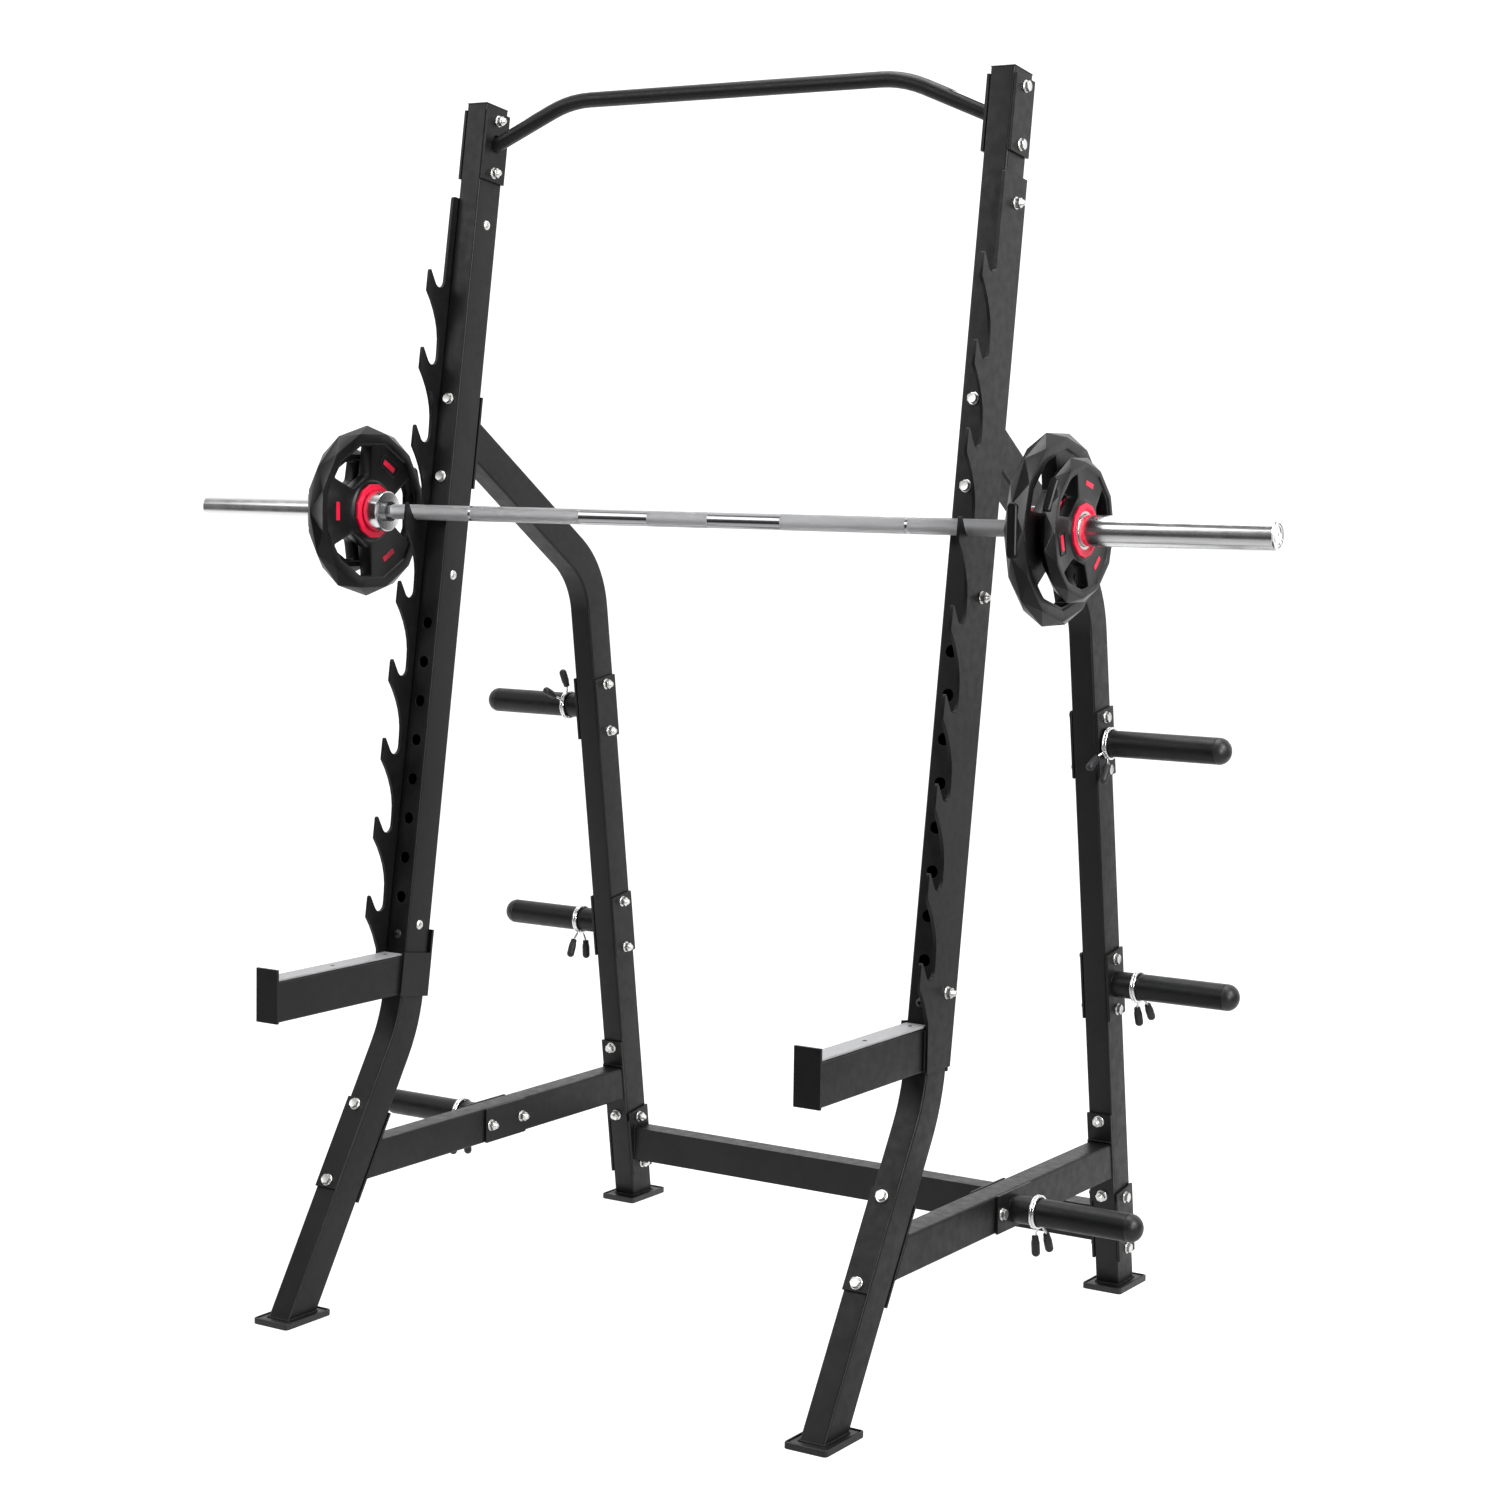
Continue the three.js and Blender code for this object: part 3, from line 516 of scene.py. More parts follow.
def leg_bolts(word, side):
    """The bolts of the side base tube, at both ends, and of the rear crossmember."""
    front, back = front_leg.out, -front_leg.out
    x = side * SIDE_X
    for n, along in enumerate(BOLT_ROWS["leg"]):
        fasten(f"leg_bolt_{word}_{n}", "bolt", front_leg.at(x, along, BACKING_HALF), front, turn=n * 0.7)
        fasten(f"leg_nut_{word}_{n}", "nut", front_leg.at(x, along, -BEHIND_LEG), back, turn=n)
        level = BASE_JOINT_RISE + along
        fasten(f"rear_nut_{word}_{n}", "nut", rear_leg.at(x, level, PLATE_REACH), rear_leg.out, turn=n * 0.4)
        fasten(f"rear_bolt_{word}_{n}", "bolt", rear_leg.at(x, level, -TUBE_DEPTH / 2), -rear_leg.out, turn=n)
    for n, along in enumerate(BOLT_ROWS["cross"]):
        fasten_pair(f"cross_bolt_{word}_{n}", rear_leg, side, along, (OUTER_PLATE_X, INNER_PLATE_X))


def dark_screws(word, side):
    """The black screw low on the upright's front, and the two in the wear strip."""
    spot = upright.at(side * SIDE_X, DOME_SCREW_AT, TUBE_DEPTH / 2 - DOME_SCREW_SINK)
    dome = facing(spot, upright.out)
    stand(f"dome_screw_{word}", heads["dark_button"], FRAME_BODY, dome)
    low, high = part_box(f"safety_liner_{word}")
    for n, share in enumerate(LINER_SCREWS["shares"]):
        y = low.y + (high.y - low.y) * share
        spot = Vector((rack_x + side * SIDE_X, y, high.z - LINER_SCREWS["sink"]))
        place = facing(spot, (0, 0, 1)) @ Matrix.Diagonal(LINER_SCREWS["scale"])
        stand(f"liner_screw_{word}_{n}", heads["dark_button"], FRAME_BODY, place)


for word, side in SIDES.items():
    upright_bolts(word, side)
    leg_bolts(word, side)
    dark_screws(word, side)


# ---- storage pegs: bolts, inner plates and caps -----------------------------
PEG_MEMBERS = {"upper": rear_leg.up, "lower": rear_leg.up, "base": Vector((0, 1, 0))}
PEG_BOLT = 0.048
PEG_R = 0.024
BACKING = {"length": 0.125, "width": 0.066, "thick": 0.004, "corner": 0.003}
# A peg's cap: a plug in the tube, a short skirt and a round end.
CAP = {"plug_r": PEG_R * 0.84, "plug": 0.012, "skirt": 0.0247, "dome": 0.0215, "edge": 0.0006}


def rounded_block(maker, size, corner, place, round_z=0.0):
    """A plate with rounded corners in its X-Y outline, its bottom at Z = 0, moved by a matrix."""
    x, y, height = size
    outline = []
    for quarter, (sx, sy) in enumerate(((1, 1), (-1, 1), (-1, -1), (1, -1))):
        for step in range(5):
            turn = (quarter + step / 4) * math.pi / 2
            outline.append((sx * (x / 2 - corner), sy * (y / 2 - corner), math.cos(turn), math.sin(turn)))
    edge = round_z or min(0.0006, height / 3)
    levels = ((corner - edge, 0), (corner, edge), (corner, height - edge), (corner - edge, height))
    rings = [[place @ Vector((cx + r * c, cy + r * s, z)) for cx, cy, c, s in outline] for r, z in levels]
    add_loft(maker, rings)


def peg_mounting(word, side, where):
    """The bolts, nuts and inner backing plate of one storage peg."""
    axis = middle(f"peg_cap_{where}_{word}")
    root = Vector((rack_x, axis.y, axis.z))
    up = PEG_MEMBERS[where]
    out = Vector((side, 0, 0))
    inner_x = INNER_X - GAP - BACKING["thick"]
    for n, along in enumerate((PEG_BOLT, -PEG_BOLT)):
        level = root + up * along
        fasten(f"peg_bolt_{where}_{word}_{n}", "bolt", level + out * OUTER_PLATE_X, out, turn=n + side)
        fasten(f"peg_nut_{where}_{word}_{n}", "nut", level + out * inner_x, -out, turn=n * 0.5)
    plate = bmesh.new()
    turn = Matrix((up.cross(out), up, -out)).transposed()
    place = Matrix.Translation(root + out * (INNER_X - GAP)) @ turn.to_4x4()
    size = (BACKING["width"], BACKING["length"], BACKING["thick"])
    rounded_block(plate, size, BACKING["corner"], place)
    new_piece(f"peg_backing_{where}_{word}", plate, "frame_paint", FRAME_BODY)


def peg_dome(word, side, where):
    """The domed cap in the end of one storage peg."""
    cap = f"peg_cap_{where}_{word}"
    low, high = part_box(cap)
    axis = middle(cap)
    tip = Vector((high.x if side > 0 else low.x, axis.y, axis.z))
    skirt, rise, edge = CAP["skirt"], CAP["dome"], CAP["edge"]
    profile = [(CAP["plug_r"], -CAP["plug"] - skirt), (CAP["plug_r"], -skirt)]
    profile += [(PEG_R - edge, -skirt), (PEG_R, -skirt + edge), (PEG_R, -rise)]
    for step in range(1, 12):
        bend = step * math.pi / 24
        profile.append((PEG_R * math.cos(bend), rise * (math.sin(bend) - 1)))
    dome = bmesh.new()
    add_turned(dome, profile, 48, facing(tip, (side, 0, 0)))
    made = new_piece(f"dome_{where}_{word}", dome, "black_plastic", FRAME_BODY, 30)
    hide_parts(cap)


for word, side in SIDES.items():
    for where in PEG_MEMBERS:
        peg_mounting(word, side, where)
        peg_dome(word, side, where)


# ---- spring collars ---------------------------------------------------------
# Each collar: its peg, its side, its place along the peg, and the angles of its two handles in
# degrees from straight down towards the back.
COLLARS = (
    ("upper_right", 1, 0.585, -60, -34),
    ("lower_right", 1, 0.621, 20, 36),
    ("base_right", 1, 0.622, 8, 24),
    ("upper_left", -1, 0.617, 207, 245),
    ("lower_left", -1, 0.628, 4, -22),
    ("base_left", -1, 0.630, 6, -14),
)
WIRE = 0.0024
RING = PEG_R + 0.0032
RING_SHIFT = 0.00255
HANDLE_SHIFT = 0.0077
GRIP = {"start": 0.044, "end": 0.082, "radius": 0.0075, "overlap": 0.002}


def add_tube(maker, points, radius, sides=12, closed=False):
    """A round wire through points, with rings square to its path."""
    rings = []
    count = len(points)
    side = None
    for k, point in enumerate(points):
        before = points[(k - 1) % count] if closed or k else point
        after = points[(k + 1) % count] if closed or k < count - 1 else point
        along = (after - before).normalized()
        if side is None:
            side = along.orthogonal().normalized()
        side = (side - along * side.dot(along)).normalized()
        other = along.cross(side)
        thick = radius(k) if callable(radius) else radius
        turns = [2 * math.pi * n / sides for n in range(sides)]
        rings.append([point + (side * math.cos(t) + other * math.sin(t)) * thick for t in turns])
    add_loft(maker, rings, closed)


def collar_wire(centre, ring_x, grip_x, away):
    """One turn of wire round the peg, and the leg that bends across from it to its grip."""
    wire = bmesh.new()
    circle = [2 * math.pi * k / 64 for k in range(64)]
    hub = centre + Vector((ring_x, 0, 0))
    ring = [hub + Vector((0, math.sin(t), math.cos(t))) * RING for t in circle]
    add_tube(wire, ring, WIRE, 12, closed=True)
    leg_end = GRIP["start"] + GRIP["overlap"]
    leg = []
    for step in range(13):
        share = step / 12
        ease = share * share * (3 - 2 * share)
        across = Vector((ring_x + (grip_x - ring_x) * ease, 0, 0))
        leg.append(centre + across + away * (RING + (leg_end - RING) * share))
    add_tube(wire, leg, WIRE * 0.9, 12)
    return wire


def collar_grip(root, away):
    """The dipped rubber grip: a narrow neck, a thicker body and a round end."""
    rubber = bmesh.new()
    radius, length = GRIP["radius"], GRIP["end"] - GRIP["start"]
    profile = [(radius * 0.45, 0.0), (radius * 0.72, 0.0003), (radius * 0.8, 0.0015), (radius * 0.82, 0.006)]
    profile += [(radius * 0.98, 0.012), (radius, 0.016), (radius, length - radius)]
    for step in range(1, 8):
        dome = step * math.pi / 16
        profile.append((radius * math.cos(dome), length - radius + radius * math.sin(dome)))
    add_turned(rubber, profile, 32, facing(root, away))
    return rubber


def collar_half(node, body, centre, side, angle):
    """One half of a collar; its wire and its grip stand to the side (-1 or 1) of the centre."""
    turn = math.radians(angle)
    grip_x = side * HANDLE_SHIFT
    away = Vector((0, math.sin(turn), -math.cos(turn)))
    wire = collar_wire(centre, side * RING_SHIFT, grip_x, away)
    rubber = collar_grip(centre + Vector((grip_x, 0, 0)) + away * GRIP["start"], away)
    coil = new_piece(f"{node}_wire", wire, "bar_chrome", body, 40)
    grip = new_piece(f"{node}_grip", rubber, "grip_rubber", body, 40)
    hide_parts(node)
    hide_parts(node)


for where, side, out, coil_angle, lever_angle in COLLARS:
    axis = middle(f"peg_cap_{where}")
    centre = Vector((rack_x + side * out, axis.y, axis.z))
    collar_half(f"collar_coil_{where}", f"collar_{where}", centre, -side, coil_angle)
    collar_half(f"collar_lever_{where}", f"collar_handle_{where}", centre, side, lever_angle)


# ---- weight plates ----------------------------------------------------------
# Radii of the ridge, the rim's face, its lip, the web, the hub's foot and top, and the red ring;
# rim, web, hub and red are half thicknesses. A slot is a window's inner and outer radius. A mark and
# a panel are height along a radius by width; the grip pad is width across the rim by length.
PLATE_SIZES = {
    "10": {
        "radius": 0.159, "face_r": 0.147, "rim": 0.017, "lip": 0.130, "web_r": 0.1275, "web": 0.0135,
        "hub_r": 0.058, "hub_top": 0.054, "hub": 0.0165, "red_r": 0.051, "red": 0.0219,
        "slot": (0.066, 0.124), "mark_r": 0.096, "mark": (0.010, 0.034),
        "pad": (0.017, 0.088), "panel": (0.025, 0.049),
    },
    "5": {
        "radius": 0.119, "face_r": 0.108, "rim": 0.013, "lip": 0.099, "web_r": 0.097, "web": 0.0102,
        "hub_r": 0.050, "hub_top": 0.0465, "hub": 0.0118, "red_r": 0.044, "red": 0.0159,
        "slot": (0.056, 0.094), "mark_r": 0.075, "mark": (0.008, 0.026),
        "pad": (0.014, 0.062), "panel": (0.019, 0.038),
    },
}
# How far each plate is turned on its sleeve, and where on its rim the raised grip pad is, in degrees.
PLATE_TURNS = {"10_left": (0, 15), "5_left": (0, 15), "10_right": (15, 165), "5_right": (15, 135)}
# The plate whose outer face has no red marks.
PLAIN_FACE = "weight_plate_10_right"
# The pad with the blank name panel, counted from the front one, and the face it is on.
PANELS = {"10_left": (2, 1), "5_left": (0, 1), "10_right": (1, 1), "5_right": (0, 1)}
FACETS = 12
STEPS = 4
BORE = 0.0256
INSERT = 0.031
# A window's outline: the half angles of its far end, its shoulders and its foot, and how far each
# corner is rounded. Its cutter is deeper than any plate.
WINDOW = {"end": math.pi / FACETS, "shoulder": 0.52, "foot": 0.40, "round": 0.0045, "depth": 0.1}


def around(radius, angle, x=0.0):
    """A point of a plate in its own frame: its axis is X and the angle is from +Y towards +Z."""
    return Vector((x, radius * math.cos(angle), radius * math.sin(angle)))


def circle_ring(radius, x):
    count = FACETS * STEPS
    return [around(radius, 2 * math.pi * (k + STEPS / 2) / count, x) for k in range(count)]


def polygon_ring(radius, x):
    """The rim face's twelve-sided edge, its corners half a facet on from the ridge's corners."""
    corners = [around(radius, 2 * math.pi * (k + 0.5) / FACETS, x) for k in range(FACETS)]
    ring = []
    for k, corner in enumerate(corners):
        after = corners[(k + 1) % FACETS]
        ring += [corner.lerp(after, step / STEPS) for step in range(STEPS)]
    return ring


def face_levels(size, side):
    """The rings of points on one face of the moulding, from the rim in to the bore."""
    rim, web, hub = side * size["rim"], side * size["web"], side * size["hub"]
    levels = [polygon_ring(size["face_r"], rim), polygon_ring(size["lip"], rim)]
    levels += [polygon_ring(size["web_r"], web), circle_ring(size["hub_r"], web)]
    levels += [circle_ring(size["hub_top"], hub), circle_ring(BORE + 0.001, hub)]
    return levels


def plate_body(size):
    """The black moulding: a rim of diamond facets, a web with pads, and a hub round the bore."""
    maker = bmesh.new()
    ridge = [maker.verts.new(around(size["radius"], 2 * math.pi * k / FACETS)) for k in range(FACETS)]
    count = FACETS * STEPS
    borders = []
    for side in (-1, 1):
        rings = [[maker.verts.new(point) for point in level] for level in face_levels(size, side)]
        for near, far in zip(rings, rings[1:]):
            for k in range(count):
                n = (k + 1) % count
                maker.faces.new((near[k], near[n], far[n], far[k]))
        face = rings[0]
        for k in range(FACETS):
            after = (k + 1) % FACETS
            maker.faces.new((ridge[k], ridge[after], face[k * STEPS]))
            run = [face[(k * STEPS + step) % count] for step in range(STEPS + 1)]
            maker.faces.new([ridge[after], *run])
        borders.append(rings[-1])
    for k in range(count):
        n = (k + 1) % count
        maker.faces.new((borders[0][k], borders[0][n], borders[1][n], borders[1][k]))
    bmesh.ops.recalc_face_normals(maker, faces=maker.faces)
    return maker


def window_cutter(size, angle):
    """A prism with the rounded six-cornered outline of a grip window."""
    near, far = size["slot"]
    tip, shoulder, foot = WINDOW["end"], WINDOW["shoulder"], WINDOW["foot"]
    outer = far * 0.985
    corners = [(outer, -shoulder), (far, -tip), (far, tip), (outer, shoulder), (near, foot), (near, -foot)]
    points = [around(r, angle + a) for r, a in corners]
    outline = []
    for k, point in enumerate(points):
        before, after = points[k - 1], points[(k + 1) % len(points)]
        start = point + (before - point).normalized() * WINDOW["round"]
        end = point + (after - point).normalized() * WINDOW["round"]
        for step in range(6):
            share = step / 5
            outline.append(start.lerp(point, share).lerp(point.lerp(end, share), share))
    maker = bmesh.new()
    shift = Vector((WINDOW["depth"] / 2, 0, 0))
    add_loft(maker, [[point - shift for point in outline], [point + shift for point in outline]])
    bmesh.ops.recalc_face_normals(maker, faces=maker.faces)
    return maker


def cut_plate(name, size):
    """The plate's moulding with its three windows cut and its edges rounded, as one mesh."""
    body = bare_object(f"{name}_blank", plate_body(size))
    tools = []
    for k in range(3):
        tools.append(bare_object(f"{name}_tool_{k}", window_cutter(size, 2 * math.pi * k / 3)))
        cut = body.modifiers.new("window", "BOOLEAN")
        cut.operation = "DIFFERENCE"
        cut.solver = "EXACT"
        cut.object = tools[-1]
    edges = body.modifiers.new("edges", "BEVEL")
    edges.width = 0.0011
    edges.segments = 2
    edges.limit_method = "ANGLE"
    edges.angle_limit = math.radians(14)
    bpy.context.view_layer.update()
    mesh = bpy.data.meshes.new_from_object(body.evaluated_get(bpy.context.evaluated_depsgraph_get()))
    for old in (body, *tools):
        data = old.data
        bpy.data.objects.remove(old)
        bpy.data.meshes.remove(data)
    mesh.name = name
    maker = bmesh.new()
    maker.from_mesh(mesh)
    shade(maker, 24)
    maker.to_mesh(mesh)
    maker.free()
    mesh.materials.clear()
    mesh.materials.append(materials["plate_black"])
    return mesh


def red_ring(size, side, place):
    """The twelve-sided red hub ring on one face of the plate."""
    maker = bmesh.new()
    low, top, edge = size["hub"] - 0.002, size["red"], 0.0012
    outer, inner = size["red_r"], INSERT
    step = inner + (outer - inner) * 0.42
    profile = [(inner, low), (outer, low), (outer, top - edge), (outer - edge, top)]
    profile += [(step + edge, top), (step, top - edge), (inner, top - 0.003)]
    turned = place @ facing((0, 0, 0), (side, 0, 0)) @ Matrix.Rotation(math.pi / 12, 4, "Z")
    add_turned(maker, profile, FACETS, turned, closed=True)
    return maker


def steel_insert(size, place):
    """The machined ring that lines the bore, a little short of the red rings' faces."""
    maker = bmesh.new()
    reach, edge = size["red"] - 0.0022, 0.0012
    profile = [(BORE, -reach + edge), (BORE + edge, -reach), (INSERT - 0.0006, -reach)]
    profile += [(INSERT - 0.0006, reach), (BORE + edge, reach), (BORE, reach - edge)]
    add_turned(maker, profile, 64, place @ facing((0, 0, 0), (1, 0, 0)), closed=True)
    return maker


def marks(size, place, faces):
    """Plain raised bars on the three pads of a plate's faces."""
    maker = bmesh.new()
    for side in faces:
        for k in range(3):
            turn = math.pi + 2 * math.pi * k / 3
            spot = around(size["mark_r"], turn, side * (size["web"] - 0.0004))
            radial = around(1, turn)
            along = Vector((side, 0, 0)).cross(radial)
            frame_of = Matrix((radial, along, Vector((side, 0, 0)))).transposed().to_4x4()
            rounded_block(maker, (*size["mark"], 0.0011), 0.0016, place @ Matrix.Translation(spot) @ frame_of)
    return maker


def panel_frame(size, pad, side, place):
    """The raised border of the name panel on one pad, left blank."""
    maker = bmesh.new()
    turn = math.pi + 2 * math.pi * pad / 3
    centre = around(size["mark_r"], turn, side * (size["web"] + 0.0002))
    radial = around(1, turn)
    along = Vector((side, 0, 0)).cross(radial)
    high, wide = size["panel"]
    corners = loop(centre, radial, along, high, wide)
    add_tube(maker, [place @ point for point in cut_corners(corners, 0.003)], 0.0009, 8, closed=True)
    return maker


def cut_corners(corners, cut):
    """A closed path with each corner replaced by a short slanted run."""
    path = []
    for k, corner in enumerate(corners):
        before, after = corners[k - 1], corners[(k + 1) % len(corners)]
        path.append(corner + (before - corner).normalized() * cut)
        path.append(corner + (after - corner).normalized() * cut)
    return path


def loop(centre, one, two, width, height):
    """The four corners of a rectangle round a centre."""
    a, b = one * (width / 2), two * (height / 2)
    return [centre + a + b, centre - a + b, centre - a - b, centre + a - b]


def grip_pad(size, angle, place):
    """The raised stadium-shaped pad on the rim."""
    maker = bmesh.new()
    turn = math.radians(angle)
    wide, tall = size["pad"]
    radial = around(1, turn)
    along = radial.cross(Vector((1, 0, 0)))
    frame_of = Matrix((Vector((1, 0, 0)), along, radial)).transposed().to_4x4()
    depth = 0.012
    base = around(size["radius"] * math.cos(math.pi / FACETS) + 0.0012 - depth, turn)
    spot = place @ Matrix.Translation(base) @ frame_of
    rounded_block(maker, (wide, tall, depth), wide / 2 - 0.0002, spot, 0.0016)
    return maker


plate_meshes = {kg: cut_plate(f"plate_{kg}_moulding", size) for kg, size in PLATE_SIZES.items()}


def weight_plate(kg, word):
    """All pieces of one weight plate: moulding, red rings, bore ring, marks, grip pad and panel."""
    size = PLATE_SIZES[kg]
    node = f"weight_plate_{kg}_{word}"
    body = f"plate_{kg}_{word}"
    turn, pad_at = PLATE_TURNS[f"{kg}_{word}"]
    centre = Vector((middle(node).x, bar_axis.y, bar_axis.z))
    place = Matrix.Translation(centre) @ Matrix.Rotation(math.radians(turn), 4, "X")
    pieces = [stand(f"{node}_moulding", plate_meshes[kg], body, place)]
    for face, side in SIDES.items():
        ring = red_ring(size, side, place)
        pieces.append(new_piece(f"{node}_red_{face}", ring, "hub_red", body, 20))
    pieces.append(new_piece(f"{node}_insert", steel_insert(size, place), "insert_steel", body))
    faces = (-1,) if node == PLAIN_FACE else (-1, 1)
    pieces.append(new_piece(f"{node}_marks", marks(size, place, faces), "hub_red", body))
    pad = grip_pad(size, pad_at, place)
    pieces.append(new_piece(f"{node}_pad", pad, "plate_black", body))
    pad_of, face = PANELS[f"{kg}_{word}"]
    panel = panel_frame(size, pad_of, face, place)
    pieces.append(new_piece(f"{node}_panel", panel, "plate_black", body, 60))
    for each in pieces:
        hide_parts(node)


for kg in PLATE_SIZES:
    for word in SIDES:
        weight_plate(kg, word)


# ---- barbell ends -----------------------------------------------------------
def bar_end(word, side):
    """The recessed cap, with a dimple and a groove, and the spring ring round it."""
    low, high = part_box(f"barbell_sleeve_{word}")
    tip = Vector((high.x if side > 0 else low.x, bar_axis.y, bar_axis.z))
    maker = bmesh.new()
    cap = [(0.0004, -0.0026), (0.004, -0.0026), (0.0046, -0.002), (0.0118, -0.002), (0.0124, -0.0026)]
    spring = [(0.0155, -0.0026), (0.0158, -0.0014), (0.0176, -0.0011), (0.0184, -0.0018), (0.0184, -0.0037)]
    add_turned(maker, cap + spring, 64, facing(tip, (side, 0, 0)))
    new_piece(f"sleeve_end_{word}", maker, "bar_chrome", f"bar_sleeve_{word}", 25)


for word, side in SIDES.items():
    bar_end(word, side)


# ---- weld beads -------------------------------------------------------------
BEAD = 0.0024
RIPPLE = 0.0022
# The standing seam on the outer side of the safety arm, near its back end.
ARM_SEAM = {"out": 0.0015, "y": -0.2672, "z": (0.545, 0.612)}
FOOT_WELD_Z = 0.0098


def bead(name, path, closed=True):
    """A rippled fillet of weld along a path of straight runs."""
    points = []
    ends = path + [path[0]] if closed else path
    for start, end in zip(ends, ends[1:]):
        count = max(2, round((end - start).length / RIPPLE * 2))
        points += [start.lerp(end, k / count) for k in range(count)]
    if not closed:
        points.append(path[-1])
    maker = bmesh.new()
    add_tube(maker, points, lambda k: BEAD * (1.0 if k % 2 else 0.75), 6, closed)
    new_piece(name, maker, "frame_paint", FRAME_BODY, 60)


def frame_welds(word, side):
    """The beads round the feet, the base tube's ends and the crossmember's end, and on the arm."""
    across = Vector((1, 0, 0))
    lying = Vector((0, 1, 0))
    standing = Vector((0, 0, 1))
    x = side * SIDE_X
    leg_depth = TUBE_DEPTH / math.cos(LEG_SPLAY)
    rear_depth = TUBE_DEPTH / math.cos(REAR_LEAN)
    for part, depth in (("front", leg_depth), ("back", rear_depth)):
        foot = middle(f"foot_shoe_{part}_{word}")
        spot = Vector((rack_x + x, foot.y, FOOT_WELD_Z))
        bead(f"weld_foot_{part}_{word}", loop(spot, across, lying, TUBE_WIDTH, depth))
    level = middle(f"side_base_tube_{word}").z
    front_at = meet_level(front_leg, x, -BEHIND_LEG, level)
    bead(f"weld_base_front_{word}", loop(front_at, across, front_leg.up, TUBE_WIDTH, leg_depth))
    rear_at = meet_level(rear_leg, x, PLATE_REACH, level)
    bead(f"weld_base_rear_{word}", loop(rear_at, across, rear_leg.up, TUBE_WIDTH, rear_depth))
    arm_x = rack_x + side * (OUTER_X + ARM_SEAM["out"])
    seam = [Vector((arm_x, ARM_SEAM["y"], z)) for z in ARM_SEAM["z"]]
    bead(f"weld_arm_{word}", seam, closed=False)
    cross = Vector((rack_x + side * INNER_PLATE_X, rear_leg.origin.y, rear_leg.origin.z))
    bead(f"weld_cross_{word}", loop(cross, lying, standing, TUBE_WIDTH, TUBE_DEPTH))


def meet_level(member, x, out, level):
    """The point at a height on the plane that lies the distance out from a member's own point."""
    start = member.at(x, 0, out)
    return start + member.up * ((level - start.z) / member.up.z)


for word, side in SIDES.items():
    frame_welds(word, side)


# ---- camera, light and floor ------------------------------------------------
# The camera's place from the rack's middle, and how it is turned, in degrees.
CAMERA = {"at": (2.7505, -4.2101, 1.5157), "yaw": 32.60, "pitch": -4.19, "roll": 0.87}
LENS = 67.62
LENS_SHIFT = -0.0511
# The level direction from the rack towards the bright side of the studio.
BACKDROP = Vector((-0.54, 0.84, 0))


def make_camera():
    data = bpy.data.cameras.new("camera")
    data.lens = LENS
    data.shift_y = LENS_SHIFT
    data.clip_end = 100
    camera = bpy.data.objects.new("camera", data)
    bpy.context.scene.collection.objects.link(camera)
    yaw, pitch, roll = (math.radians(CAMERA[name]) for name in ("yaw", "pitch", "roll"))
    ahead = Vector((-math.sin(yaw) * math.cos(pitch), math.cos(yaw) * math.cos(pitch), math.sin(pitch)))
    level = Vector((math.cos(yaw), math.sin(yaw), 0))
    above = level.cross(ahead)
    right = level * math.cos(roll) + above * math.sin(roll)
    up = above * math.cos(roll) - level * math.sin(roll)
    turn = Matrix((right, up, -ahead)).transposed().to_4x4()
    camera.matrix_world = Matrix.Translation(Vector(CAMERA["at"]) + Vector((rack_x, 0, 0))) @ turn
    bpy.context.scene.camera = camera


def area_light(name, position, target, size, power):
    data = bpy.data.lights.new(name, "AREA")
    data.shape = "RECTANGLE"
    data.size, data.size_y = size
    data.energy = power
    light = bpy.data.objects.new(name, data)
    bpy.context.scene.collection.objects.link(light)
    light.location = position
    light.rotation_euler = (Vector(target) - Vector(position)).to_track_quat("-Z", "Y").to_euler()


def plane(name, size, matrix, material):
    """A flat sheet of the studio."""
    maker = bmesh.new()
    x, y = size[0] / 2, size[1] / 2
    maker.faces.new([maker.verts.new(p) for p in ((-x, -y, 0), (x, -y, 0), (x, y, 0), (-x, y, 0))])
    made = bare_object(name, maker)
    made.data.materials.append(material)
    made.matrix_world = matrix
    return made


def backdrop_glow(tree):
    """How bright the studio is in a direction: dark in front of the rack, white behind it."""
    direction = tree.nodes.new("ShaderNodeTexCoord").outputs["Generated"]
    towards = tree.nodes.new("ShaderNodeVectorMath")
    towards.operation = "DOT_PRODUCT"
    towards.inputs[1].default_value = BACKDROP
    tree.links.new(direction, towards.inputs[0])
    ramp = tree.nodes.new("ShaderNodeValToRGB")
    stops = ramp.color_ramp.elements
    stops[0].position, stops[0].color = 0.0, (0.12, 0.12, 0.12, 1)
    stops[1].position, stops[1].color = 1.0, (1, 1, 1, 1)
    for position, level in ((0.45, 0.1), (0.58, 0.35), (0.67, 0.95), (0.86, 1.0)):
        stop = stops.new(position)
        stop.color = (level, level, level, 1)
    half = tree.nodes.new("ShaderNodeMapRange")
    half.inputs["From Min"].default_value = -1
    tree.links.new(towards.outputs["Value"], half.inputs["Value"])
    tree.links.new(half.outputs["Result"], ramp.inputs["Fac"])
    return ramp.outputs["Color"]


def studio_world():
    """Plain white to look at; it lights the rack from behind and hardly from its front."""
    world = bpy.data.worlds.new("studio")
    world.use_nodes = True
    tree = world.node_tree
    background = tree.nodes["Background"]
    seen = tree.nodes.new("ShaderNodeMix")
    seen.data_type = "RGBA"
    seen.inputs["B"].default_value = (1, 1, 1, 1)
    tree.links.new(tree.nodes.new("ShaderNodeLightPath").outputs["Is Camera Ray"], seen.inputs["Factor"])
    tree.links.new(backdrop_glow(tree), seen.inputs["A"])
    tree.links.new(seen.outputs["Result"], background.inputs["Color"])
    background.inputs["Strength"].default_value = 1.25
    bpy.context.scene.world = world


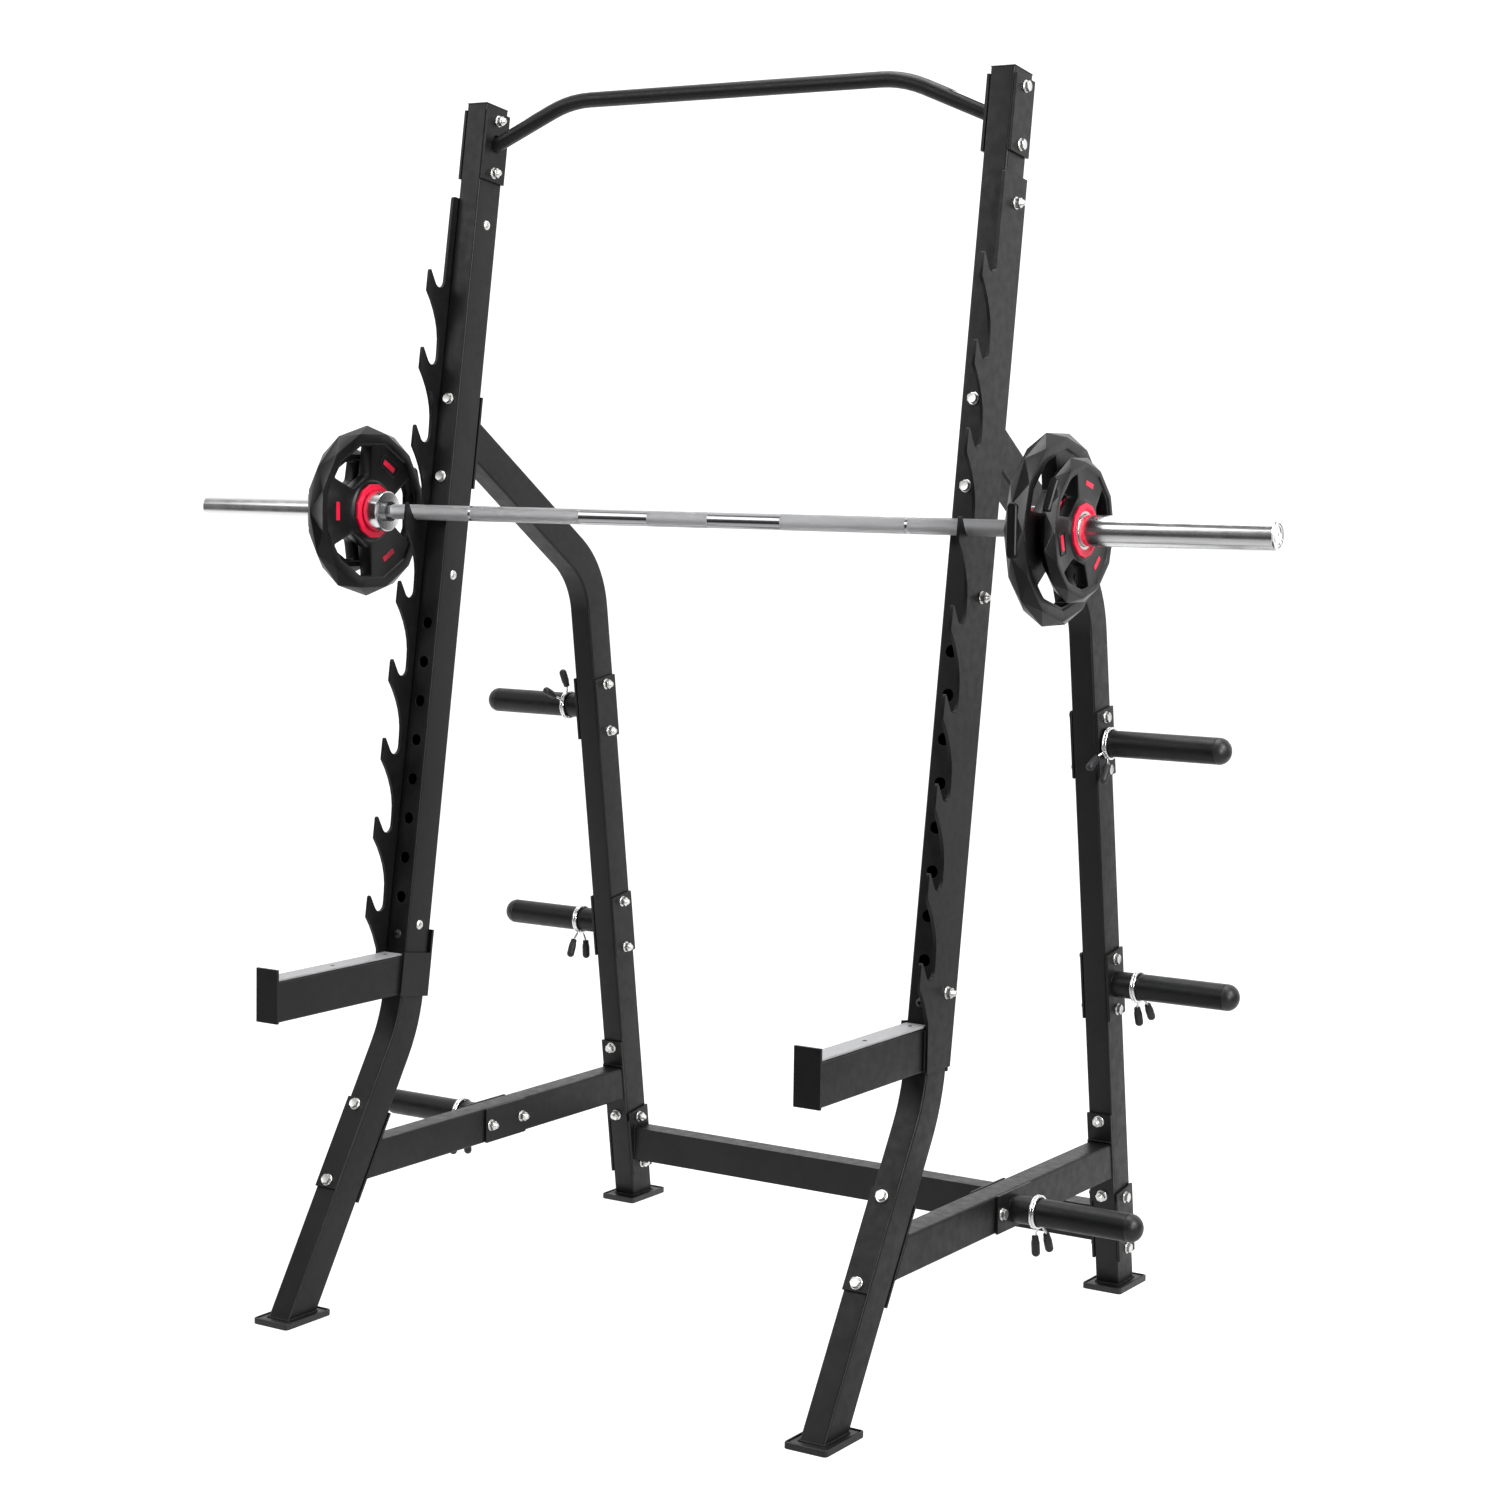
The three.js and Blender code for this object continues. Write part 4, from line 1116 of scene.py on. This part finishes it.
def floor_material():
    """White paper that looks evenly lit and bounces less light in front of the rack than behind it."""
    made = Recipe("floor_white", (0.22, 0.22, 0.22), 0.8)
    made.shader.inputs["Specular IOR Level"].default_value = 0.1
    near = made.node("ShaderNodeVectorMath", operation="DOT_PRODUCT")
    near.inputs[1].default_value = BACKDROP
    made.link(made.place, near.inputs[0])
    glow = made.between(near.outputs["Value"], 0.15, 0.95, -1.4, 0.8)
    made.shader.inputs["Emission Color"].default_value = (1, 1, 1, 1)
    seen = made.node("ShaderNodeLightPath").outputs["Is Camera Ray"]
    paper = made.maths("MULTIPLY", seen, made.between(made.noise(3.0), 0.99, 1.01))
    made.link(made.maths("MAXIMUM", glow, paper), made.shader.inputs["Emission Strength"])
    made.roughness(made.noise(40.0), 0.65, 0.75)
    return made.material


def flag_cloth():
    made = Recipe("flag_cloth", (0.02, 0.02, 0.02), 0.9)
    made.colour(made.noise(20.0), (0.015, 0.015, 0.015), (0.025, 0.025, 0.025))
    return made.material


def make_studio():
    """A bright backdrop and a few soft lights; two dark flags shade the rack and aren't seen."""
    bpy.context.scene.view_settings.view_transform = "Standard"
    studio_world()
    plane("floor", (80, 80), Matrix.Identity(4), floor_material())
    area_light("key", (5.0, -0.8, 4.2), (0, 0, 1.0), (2.0, 3.0), 260)
    area_light("edge_strip", (4.6, -2.9, 1.5), (0, 0, 1.1), (0.35, 3.4), 170)
    area_light("front_left_panel", (-1.61, -2.54, 3.08), (0.55, -0.5, 0.4), (2.6, 1.7), 36)
    for name, size, middle_at, ahead in (
        ("front_flag", (6.5, 1.3), (-0.75, -2.6, 0.65), (0, 1, 0)),
        ("right_flag", (6.4, 0.75), (2.3, 0.8, 0.38), (-1, 0, 0)),
    ):
        flag = plane(name, size, facing(middle_at, ahead), flag_cloth())
        flag.visible_camera = False
    area_light("top", (0, 0.3, 5.5), (0, 0, 1.0), (3.0, 3.0), 150)


make_camera()
make_studio()


# ---- finishes of the CAD pieces ---------------------------------------------
FINISHES = {
    "barbell_shaft": "bar_steel",
    "barbell_sleeve": "bar_chrome",
    "safety_liner": "arm_liner",
    "upright_cap": "black_plastic",
    "foot_shoe": "black_plastic",
    "peg_cap": "black_plastic",
    "weight_plate": "plate_black",
    "collar": "bar_chrome",
}


def finish_of(node):
    found = [finish for start, finish in FINISHES.items() if node.startswith(start)]
    return found[0] if found else "frame_paint"


def finish_node(name, obj):
    """Gives a CAD piece its material, welded vertices, small rounds on its edges and smooth faces."""
    mesh = obj.data
    mesh.materials.clear()
    mesh.materials.append(materials[finish_of(name)])
    if mesh.attributes.get("custom_normal"):
        mesh.attributes.remove(mesh.attributes["custom_normal"])
    for face in mesh.polygons:
        face.use_smooth = True
    weld = obj.modifiers.new("weld", "WELD")
    weld.merge_threshold = 0.00002
    if "barbell" in name:
        split = obj.modifiers.new("sharp", "EDGE_SPLIT")
        split.split_angle = math.radians(30)
        return
    bevel = obj.modifiers.new("edges", "BEVEL")
    bevel.width = 0.0012 if "shoe" in name or "cap" in name else 0.0007
    bevel.segments = 2
    bevel.limit_method = "ANGLE"
    bevel.angle_limit = math.radians(50)
    normals = obj.modifiers.new("normals", "WEIGHTED_NORMAL")
    normals.keep_sharp = True


for name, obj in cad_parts.items():
    finish_node(name, obj)
